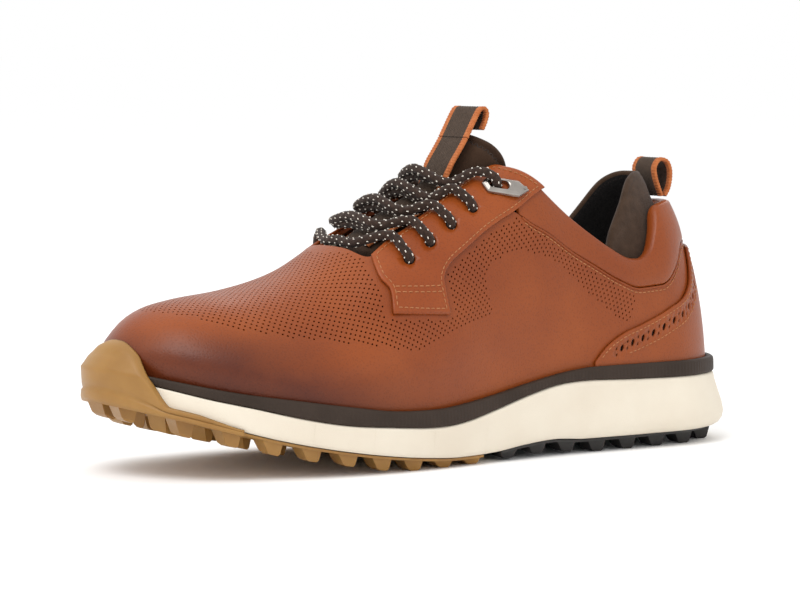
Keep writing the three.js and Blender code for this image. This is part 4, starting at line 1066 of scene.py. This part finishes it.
for k, (reach, low, high) in enumerate(rows):
    u, g = lay_up(inset_line(reach, low, high))
    u, g = u[g > 0.05], g[g > 0.05]
    running(f"heel_cap_stitches_{k + 1}", (skin(u, g, GAP + OVERLAY - 0.02), skin_normal(u, g)), thread,
            "overlay_leather", 2.3, 0.76, 0.24)

# ---------------------------------------------------------------- eyestays
# A smooth calf facing on each side carries the lace holes. It is laid over the quarter and collar,
# edge-stitched all round, and barred with two close rows above its foot.
# the eyestays' calf is lightened by 14%: a painted highlight standing for the light on the eyestays' tops
stay_calf = leather("eyestay_calf_painted_highlight", 0.5, painted_highlight=0.14)
STAY_FACE = GAP + 0.1 + OVERLAY
throat = through([[0.318, 0.706], [0.302, 0.742], [0.283, 0.764], [0.274, 0.78], [0.259, 0.796], [0.244, 0.825],
                  [0.223, 0.843], [0.206, 0.857], [0.193, 0.856], [0.1855, 0.818], [0.174, 0.748],
                  [0.1665, 0.7]], 8)
lower = through([[0.1665, 0.7], [0.184, 0.675], [0.198, 0.655], [0.222, 0.633], [0.243, 0.598], [0.258, 0.568],
                 [0.2655, 0.53], [0.2665, 0.474], [0.266, 0.387]], 8)
front = through([[0.309, 0.428], [0.309, 0.531], [0.3145, 0.581], [0.317, 0.642], [0.318, 0.706]], 8)
stay_loop = np.concatenate([throat[:-1], lower, front[:-1]])


def mirrored(ug, side):
    return ug if side == "outer" else np.stack([1 - ug[:, 0], ug[:, 1]], -1)


def pull_in(loop, reach, first, last):
    """A stretch of an outline moved inwards, as u and g; the outline is given in u and g."""
    p = flat(loop[:, 0], loop[:, 1])
    n = left_of(np.roll(p, -1, 0) - np.roll(p, 1, 0))
    if not inside(p[20:21] + n[20:21] * 1.0, p)[0]:
        n = -n
    moved = p + n * reach
    good = inside(moved, p) & far_from(moved, p, reach * 0.93)
    index = np.arange(first, last) % len(loop)
    index = index[good[index]]
    u, g = lay_up(moved[index])
    return skin(u, g, STAY_FACE), skin_normal(u, g)


rear_start = len(throat) - 1
front_start = rear_start + len(lower)
for side in ("outer", "inner"):
    loop = mirrored(stay_loop, side)
    holes = [(*flat(*mirrored(np.array([hole]), side)[0]), 2.6, 22) for hole in LACE_HOLES]
    cad = "lateral" if side == "outer" else "medial"
    cut_leather(f"eyestay_{side}", flat(loop[:, 0], loop[:, 1]), holes, 3.0, STAY_FACE, OVERLAY, stay_calf,
                [f"eyestay_{cad}"], rim=0.55)
    for edge, reach, first, last in (("throat", 2.1, 0, rear_start), ("rear", 1.9, rear_start, front_start),
                                     ("front", 1.9, front_start, len(loop))):
        running(f"eyestay_{side}_{edge}_stitches", pull_in(loop, reach, first, last), thread,
                "overlay_leather", 2.4, 0.76, 0.25)
    foot = mirrored(np.stack([np.linspace(0.3055, 0.2695, 12), np.linspace(0.449, 0.412, 12)], -1), side)
    for k, rise_by in enumerate((0.0, 0.062, 0.084)):
        running(f"eyestay_{side}_bar_{k + 1}", trail(foot + [0, rise_by], STAY_FACE, 3), thread,
                "overlay_leather", 2.4, 0.76, 0.27)

# ---------------------------------------------------------------- metal lace loops
# A faceted six-sided plate of dark nickel at the top of each eyestay, let into the leather. The last
# turn of lace goes down through its slot.
nickel = wash("dark_nickel", ((0.30, 0.275, 0.25), (0.40, 0.37, 0.34)), 120, 0.3, 0.01, 2500, metal=1.0)


def shrink(loop, reach):
    return loop + left_of(np.roll(loop, -1, 0) - np.roll(loop, 1, 0)) * reach


def widen(loop, share):
    return loop + (loop - [SLOT_X, 0]) * share


SLOT_X, SLOT_REACH, SLOT_RADIUS, AROUND = 1.0, 1.9, 2.3, 96
hexagon = np.array([[-6.6, 0], [-4.0, -4.1], [9.6, -4.1], [14, 0], [9.6, 4.1], [-4.0, 4.1], [-6.6, 0]])
run = lengths(hexagon)
hexagon = read_at(np.arange(AROUND) / AROUND * run[-1], run, hexagon)
slot_turn = np.arctan2(hexagon[:, 1], hexagon[:, 0] - SLOT_X)
slot_loop = np.stack([SLOT_X + np.sign(np.cos(slot_turn)) * SLOT_REACH + SLOT_RADIUS * np.cos(slot_turn),
                      SLOT_RADIUS * np.sin(slot_turn)], -1)
for cad, side in (("lateral", 1), ("medial", -1)):
    w, g = LACE_HOLES[4]
    u = w if side > 0 else 1 - w
    up = skin_normal(u, g)
    wide = unit(np.cross(up, unit(skin(u - side * 0.01, g - 0.035) - skin(u, g))))
    rear = np.cross(wide, up)
    base = skin(u, g, GAP + OVERLAY + 0.35)
    rows = []
    for loop, z in ((hexagon, 0.0), (shrink(hexagon, 0.12), 0.9), (shrink(hexagon, 0.5), 1.25),
                    (shrink(hexagon, 1.5), 1.95), (shrink(hexagon, 1.62), 2.0), (widen(slot_loop, 0.14), 1.95),
                    (widen(slot_loop, 0.03), 1.7), (slot_loop, 1.2), (slot_loop, 0.0)):
        rows.append(base + rear * loop[:, :1] + wide * loop[:, 1:2] + up * z)
    piece(f"lace_loop_{cad}_plate", rows, grid(len(rows), AROUND, wrap_rows=True, wrap_columns=True), nickel,
          "nickel", stands_for=[f"lace_loop_{cad}"], smooth=False)

# ---------------------------------------------------------------- tongue
# Padded tongue: thick sock fabric over foam, bound and sewn under the vamp at its root, free at the
# top. Its edge is flattened by a zigzag seam.
TONGUE_PAD = 4.2
# each section: station, height, how far its sides drop, half its width, how far it leans
tongue_table = np.array([[204, 76.5, 5, 18, 27], [190, 86, 9, 18, 32], [178, 94.5, 14, 17, 33],
                         [165, 102.5, 18, 16, 33], [155, 108, 20, 14.2, 36], [148, 113, 20, 12.8, 42],
                         [143, 118, 19, 12, 50], [138, 125, 18, 12.5, 55], [134, 131, 18, 15, 56],
                         [131, 136, 18, 17.5, 56]])
tongue_of = [curve(np.stack([np.arange(10), tongue_table[:, k]], -1)) for k in range(5)]
END = 9.0
espresso = wash("espresso_fabric", ((0.038, 0.019, 0.010), (0.056, 0.029, 0.016)), 60, 0.82, 0.5, 2400,
                sheen=0.12, shine=0.15)
dark_thread = wash("dark_thread", ((0.020, 0.011, 0.008), (0.032, 0.018, 0.012)), 600, 0.7, 0.5, 3000)


def on_tongue(v, a, off=0.0):
    """Points on the tongue: v counts sections from the root, a is degrees round its arc."""
    v, a, off = np.broadcast_arrays(np.asarray(v, float), np.asarray(a, float), np.asarray(off, float))
    s, z, drop, half, lean = (f(v) for f in tongue_of)
    tilt, q = np.radians(lean), np.radians(a)
    down = np.stack([-np.sin(tilt), 0 * tilt, -np.cos(tilt)], -1)
    p = np.stack([s, half * np.sin(q), z], -1) + down * (drop * (1 - np.cos(q)))[..., None]
    n = down * -(half * np.cos(q))[..., None]
    n[..., 1] += drop * np.sin(q)
    p = p + unit(n) * off[..., None]
    return p * [-1, 1, 1] + [LENGTH / 2, 0, 0]


def roundness(distance, reach):
    """From 0 at an edge to 1 at reach from it, along a quarter circle."""
    return np.sqrt(1 - (1 - np.clip(distance / reach, 0, 1)) ** 2)


v = np.concatenate([np.linspace(0, END - 0.75, 70), END - 0.75 * (1 - np.linspace(0, 1, 26)[1:]) ** 1.6])
a = np.sin(np.linspace(-1, 1, 84) * math.pi / 2 * 0.93) / math.sin(math.pi / 2 * 0.93)
V, A = np.meshgrid(v, a, indexing="ij")
reach_of = lambda v: np.interp(v, [0, 5.5, 8.2], [92, 92, 112])
end_of = lambda a: END - 2.3 * (1 - np.sqrt(1 - np.clip((np.abs(a) - 0.42) / 0.58, 0, 1) ** 2))
V = V * end_of(A) / END
A = A * reach_of(V)
flank_gap = (reach_of(V) - np.abs(A)) * np.radians(1) * (tongue_of[3](V) + tongue_of[2](V)) / 2
top_gap = np.linalg.norm(on_tongue(V, A) - on_tongue(end_of(a)[None] + 0 * V, A), axis=-1)
edge_gap = np.minimum(flank_gap, top_gap)
seam_dip = 0.75 * np.exp(-((edge_gap - 3.4) / 1.1) ** 2)
plump = 0.25 * np.clip((edge_gap - 4) / 6, 0, 1)
half_thick = 0.08 + (TONGUE_PAD / 2 - 0.1) * roundness(np.maximum(edge_gap, 0), 2.0)
half_thick = np.where(V < 0.3, half_thick * (0.35 + 0.65 * V / 0.3), half_thick)
middle_off = -TONGUE_PAD / 2
tongue_skin = join_sides(on_tongue(V, A, middle_off + half_thick - seam_dip + plump),
                         on_tongue(V, A, middle_off - half_thick + 0.4 * seam_dip))
tongue = piece("tongue_pad", *tongue_skin, espresso, "stretch_fabric", body="tongue", stands_for=["tongue"])

# the root strip carries on forwards from the tongue's first section, under the vamp
ROOT_FRONT, ROOT_REAR, ROOT_ARC, ROOT_MIDDLE = -12, -2.2, 80, -1.4
X, A = np.meshgrid(np.linspace(ROOT_FRONT, ROOT_REAR, 14), np.linspace(-ROOT_ARC, ROOT_ARC, 40), indexing="ij")
root = lambda off: on_tongue(0.0 * X, A, ROOT_MIDDLE + off) - np.stack([X, 0 * X, -0.45 * X], -1)
root_edge = np.minimum(np.minimum(X - ROOT_FRONT, ROOT_REAR - X), (ROOT_ARC - np.abs(A)) * 0.3)
root_thick = 0.8 * roundness(root_edge + 0.05, 0.8)
piece("tongue_root", *join_sides(root(root_thick), root(-root_thick)), espresso, "stretch_fabric",
      stands_for=["tongue_binding"])


def zigzag(name, path, normals, material, slot, pitch, width, radius=0.28, body="shoe"):
    """A zigzag row along a path."""
    run = lengths(path)
    at = np.linspace(0, run[-1], int(run[-1] / pitch) + 1)
    p, n = read_at(at, run, path), read_at(at, run, normals)
    side = unit(np.cross(np.gradient(p, axis=0), n))
    p = p + side * (np.where(np.arange(len(at)) % 2, 0.5, -0.5) * width)[:, None]
    return sew(name, p[:-1], p[1:], n[:-1], material, slot, radius, body)


def tongue_line(v, a, off):
    """A line on the tongue as points and normals."""
    p = on_tongue(v, a, off)
    return p, on_tongue(v, a, off + 1) - p


# the seam runs up one flank, across the top and down the other, 3.4 mm inside the edge
arc = np.linspace(-1, 1, 201)
seam_share = np.sign(arc) * np.minimum(1, np.abs(arc) / 0.62) * 0.86
seam_v = end_of(seam_share) - 0.62 - np.clip(np.abs(arc) - 0.62, 0, 1) / 0.38 * 2.2
seam_a = seam_share * reach_of(seam_v)
zigzag("tongue_zigzag", *tongue_line(seam_v, seam_a, -0.72), dark_thread, "stretch_fabric", 1.3, 1.9, 0.26,
       "tongue")

# ---------------------------------------------------------------- tongue strap
# Woven webbing with ribbed orange edges, sewn down the tongue's middle. Past the last stitches it
# doubles back on itself as a pull loop.
WEBBING, FACET = (22.0, 1.3), 0.45
webbing = wash("brown_webbing", ((0.045, 0.028, 0.018), (0.075, 0.048, 0.032)), 800, 0.75, 0.5, 2600,
               sheen=0.08, shine=0.15)
orange = wash("orange_webbing", ((0.40, 0.11, 0.030), (0.52, 0.17, 0.055)), 500, 0.7, 0.5, 2600,
              sheen=0.05, shine=0.15)


def weave(distance, across):
    """Height of a twill: fine ridges that cross the band on the slant."""
    return (0.09 * np.sin(2 * math.pi * (distance / 1.25 + across / 1.9))
            + 0.05 * np.cos(2 * math.pi * across / 0.95))


def orange_edges(made, rows, columns, width, edge):
    """The threads at both edges of a band are orange."""
    made.data.materials.append(orange)
    for face in made.data.polygons:
        j = np.mean([k % (rows * columns) % columns for k in face.vertices])
        if abs(j / (columns - 1) * 2 - 1) * width / 2 > width / 2 - edge:
            face.material_index = 1


v = np.linspace(1.5, END - 0.73, 260)
t = np.linspace(-1, 1, 67)
V, T = np.meshgrid(v, t, indexing="ij")
spread_angle = np.degrees(np.arcsin(np.minimum(0.67, WEBBING[0] / 2 / tongue_of[3](V)))) * T
run = lengths(on_tongue(v, 0 * v))[:, None] + 0 * T
rim_round = roundness((1 - np.abs(T)) * 11 + 0.05, 0.6)
middle_off = GAP + FACET + WEBBING[1] / 2
inboard = np.abs(T) * 11 < 8.1
lift = 0.65 * rim_round + np.where(inboard, weave(run, T * 11), 0.16 + 0.13 * np.sin(2 * math.pi * run / 1.3))
stretch = np.clip((V - 4.2) / 2.6, 0, 1)
stretch = stretch * stretch * (3 - 2 * stretch)


def on_strap(off):
    bent = on_tongue(V, spread_angle, off)
    straight = on_tongue(V, 0 * V, off)
    straight[..., 1] += T * WEBBING[0] / 2
    return bent + (straight - bent) * stretch[..., None]


strap_skin = join_sides(on_strap(middle_off + lift - 0.1), on_strap(middle_off - 0.65 * rim_round))
strap = piece("tongue_strap_band", *strap_skin, webbing, "webbing", body="tongue", stands_for=["tongue_strap"])
orange_edges(strap, len(v), len(t), WEBBING[0], 2.9)


def webbing_loop(name, path, width, edge, body):
    """A band of webbing along a path of [x, z] points, ribbed at both edges."""
    line = through(path, 30)
    run = lengths(line)
    at = np.linspace(0, run[-1], int(run[-1] / 0.3))
    line = read_at(at, run, line)
    n = left_of(np.gradient(line, axis=0))
    across = np.linspace(-1, 1, 2 * int(width * 1.5) + 1) * width / 2
    D, Y = np.meshgrid(at, across, indexing="ij")
    round_off = roundness(width / 2 - np.abs(Y) + 0.05, 0.6)
    ribbed = np.abs(Y) > width / 2 - edge
    relief = np.where(ribbed, 0.14 + 0.13 * np.sin(2 * math.pi * D / 1.3), weave(D, Y))

    def face(sign):
        h = sign * (0.6 + relief) * round_off
        return np.stack([line[:, None, 0] + n[:, None, 0] * h, Y, line[:, None, 1] + n[:, None, 1] * h], -1)

    made = piece(name, *join_sides(face(1), face(-1)), webbing, "webbing", body=body, stands_for=[body])
    orange_edges(made, len(at), len(across), width, edge)


strap_end = on_tongue(END - 0.72, 0.0, middle_off)
pull_path = np.array([[0.1, 0.3], [2.2, 4.1], [4.3, 7.9], [5.9, 10.6], [7.4, 12.4], [9.4, 12.4], [10.4, 10.4],
                      [9.6, 7.0], [8.0, 3.6]])
webbing_loop("tongue_pull_band", pull_path + strap_end[[0, 2]], 22, 3.0, "tongue_pull")

# ---------------------------------------------------------------- heel pull
# A short loop of the same webbing. One leg is sewn down behind the collar's peak and the other
# between the sock and the collar.
peak = skin(0.0, topline(0.0))
heel_path = np.array([[-4.2, 0.9], [-6.0, 5], [-7.6, 9.6], [-7.9, 13.4], [-5.4, 16.7], [-1.6, 16.0], [0.3, 12.6],
                      [0.4, 8], [-0.7, 3.8], [-2.5, 0.9]])
webbing_loop("heel_pull_band", heel_path + peak[[0, 2]], 17, 2.6, "heel_pull")

# ---------------------------------------------------------------- sock edge
# The stretch sock's top edge is turned and held down with a zigzag seam of dark thread, which shows
# on both faces.
ws = np.linspace(-0.075, 0.075, 150)
line_g = sock_edge(np.abs(ws)) - 3.2 / wall_at(ws)
for name, off, sign in (("sock_zigzag_outside", -sock_in + 0.05, 1),
                        ("sock_zigzag_inside", -sock_in - SOCK_WALL - 0.05, -1)):
    zigzag(name, skin(ws, line_g, off), sign * skin_normal(ws, line_g), dark_thread, "stretch_fabric",
           1.3, 1.8, 0.24)

# ---------------------------------------------------------------- lace
# One round lace, braided over a core, with pale flecks carried round it by single light yarns. It
# bars the first holes, crosses up to the metal loops and is tucked in beside the tongue.
LACE, LACE_LIFT = 4.4, 0.5
cord = wash("lace_braid", ((0.024, 0.014, 0.010), (0.046, 0.026, 0.018)), 700, 0.8, 0.5, 2600,
            sheen=0.1, shine=0.15)
fleck = wash("lace_fleck", ((0.72, 0.66, 0.56), (0.85, 0.80, 0.72)), 600, 0.7, 0.3, 2600)
bar_at = [1.15, 1.9, 2.75, 3.8, 5.15]
above = GAP + OVERLAY + LACE / 2 + LACE_LIFT


def on_side(side, u, g, off):
    """A point over the outer side (-1) or the inner side (1) of the shoe."""
    return skin(u if side < 0 else 1 - u, g, off)


def tuck(u):
    """How deep the lace runs behind the lining."""
    return -(lining_in(u) + LINING + LACE / 2 + GAP + 2 * FACET)


def into_hole(side, k):
    u, g = LACE_HOLES[k]
    high = above + (2.2 if k == 4 else 0)
    return [on_side(side, u + 0.009, topline(u) - 0.03, above + 0.6),
            on_side(side, u + 0.004, g + 0.034, high + 0.1), on_side(side, u + 0.0005, g + 0.006, high - 1.2),
            on_side(side, u, g, 0), on_side(side, u, g, -LEATHER - 2)]


def out_of_hole(side, k):
    u, g = LACE_HOLES[k]
    shift = 0.001 if k == 3 else 0.007
    edge = topline(u - shift)
    room = (LACE / 2 + GAP + FACET) / wall_at(u)
    return [on_side(side, u - shift / 2, g + 0.014, tuck(u)),
            on_side(side, u - shift, edge - 0.005, tuck(u)),
            on_side(side, u - shift - 0.002, edge + room + 0.012, -LEATHER / 2)]


def over_tongue(k, a, lift):
    return on_tongue(bar_at[k], a, 5 * GAP + FACET + WEBBING[1] + LACE / 2 + lift)


def half_lacing(side):
    """One end of the lace: over the tongue from hole to hole, crossing the other end at each."""
    points = into_hole(side, 0) + out_of_hole(side, 0)
    for k in range(1, 5):
        upper = (k + (0 if side < 0 else 1)) % 2
        points += [over_tongue(k, side * 42, LACE + (1.6 if upper else 0.4)),
                   over_tongue(k, 0, LACE - 0.1 if upper else 0.2)]
        side = -side
        points.append(over_tongue(k, side * 42, LACE + (1.8 if upper else 0.6) + (0.6 if k == 4 else 0)))
        points += into_hole(side, k)
        if k < 4:
            points += out_of_hole(side, k)
    u, g = LACE_HOLES[4]
    return points + [on_side(side, u - 0.004, g - 0.03, tuck(u)), on_side(side, u - 0.012, g - 0.09, tuck(u))]


first_bar = [over_tongue(0, -30, 0.6), over_tongue(0, 0, 0), over_tongue(0, 30, 0.6)]
lace_line = through(half_lacing(-1)[::-1] + first_bar + half_lacing(1), 24)
run = lengths(lace_line)
at = np.arange(0, run[-1], 0.45)
lace_line = read_at(at, run, lace_line)
for _ in range(18):
    lace_line[1:-1] = lace_line[1:-1] * 0.5 + (lace_line[:-2] + lace_line[2:]) * 0.25
# two directions across the lace, carried along it without twisting
first_side, second_side = np.empty_like(lace_line), np.empty_like(lace_line)
up = np.array([0.31, 0.2, 0.93])
for i, d in enumerate(unit(np.gradient(lace_line, axis=0))):
    up = up - d * (up @ d)
    up /= np.linalg.norm(up)
    first_side[i], second_side[i] = up, np.cross(d, up)


def round_lace(distance, turn_by, radius):
    """Points, and directions out, on the lace at distances along it and turns round it."""
    out = unit(read_at(distance, at, first_side) * np.cos(turn_by)[..., None]
               + read_at(distance, at, second_side) * np.sin(turn_by)[..., None])
    return read_at(distance, at, lace_line) + out * np.asarray(radius)[..., None], out


STRANDS = 18
D, T = np.meshgrid(at, np.arange(STRANDS) / STRANDS * 2 * math.pi, indexing="ij")
braid = np.maximum(np.cos(4 * T + 2 * math.pi * D / 6.4), np.cos(4 * T - 2 * math.pi * D / 6.4))
taper = roundness(np.minimum(D, at[-1] - D) + 0.05, 1.5)
skin_points, _ = round_lace(D, T, (LACE / 2 - 0.3 + 0.14 * braid) * taper)
faces = grid(len(at), STRANDS, wrap_columns=True)
faces += [list(range(STRANDS - 1, -1, -1)), [(len(at) - 1) * STRANDS + j for j in range(STRANDS)]]
piece("lace_rope", skin_points, faces, cord, "lace_cord", stands_for=["lace"])
step = np.arange(2.0, at[-1] - 2.0, 2.1)
where = np.repeat(step, 3)
turned = np.tile(np.arange(3) * 2 * math.pi / 3, len(step))
turned += np.repeat(np.arange(len(step)) % 2 * math.pi / 3 + step * 0.05, 3)
starts, out = round_lace(where - 0.42, turned, LACE / 2 - 0.2 + 0 * where)
stops, _ = round_lace(where + 0.42, turned + 0.12, LACE / 2 - 0.2 + 0 * where)
sew("lace_flecks", starts, stops, out, fleck, "lace_cord", 0.26)

# ---------------------------------------------------------------- hidden parts
# Stiffeners, board, shank and foam inside the shoe: fibre sheet, fibreboard, nylon and open foam.
# Their solids are used as they are, and a solid that a piece above stands for has its material.
fibre = wash("fibre_sheet", ((0.60, 0.52, 0.38), (0.70, 0.62, 0.47)), 90, 0.85, 0.5, 1800)
fibreboard = wash("fibreboard", ((0.62, 0.53, 0.38), (0.74, 0.66, 0.50)), 140, 0.9, 0.5, 1500)
nylon = wash("black_nylon", ((0.012, 0.012, 0.012), (0.024, 0.024, 0.024)), 60, 0.45, 0.2, 1600)
open_foam = wash("open_foam", ((0.64, 0.56, 0.36), (0.74, 0.66, 0.45)), 300, 0.95, 0.8, 1100)
inside_parts = {"toe_puff": fibre, "heel_counter": fibre, "eyestay_backer_lateral": fibre,
                "eyestay_backer_medial": fibre, "strobel_board": fibreboard, "shank_plate": nylon,
                "collar_foam": open_foam}
covered = {"outsole_forefoot": gum, "outsole_heel": black_rubber, "midsole": foam, "rand": black_rubber,
           "lining": lining_cloth, "bootie_collar": knit, "vamp_quarter": calf, "collar_leather": smooth_calf,
           "heel_overlay": overlay_calf, "eyestay_lateral": stay_calf, "eyestay_medial": stay_calf,
           "lace_loop_lateral": nickel, "lace_loop_medial": nickel, "tongue": espresso,
           "tongue_binding": espresso, "tongue_strap": webbing, "tongue_pull": webbing, "heel_pull": webbing,
           "lace": cord, "footbed": black_rubber, "footbed_cover": lining_cloth}
for node, stuff in {**inside_parts, **covered}.items():
    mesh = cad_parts[node].data
    mesh.materials.clear()
    mesh.materials.append(stuff)
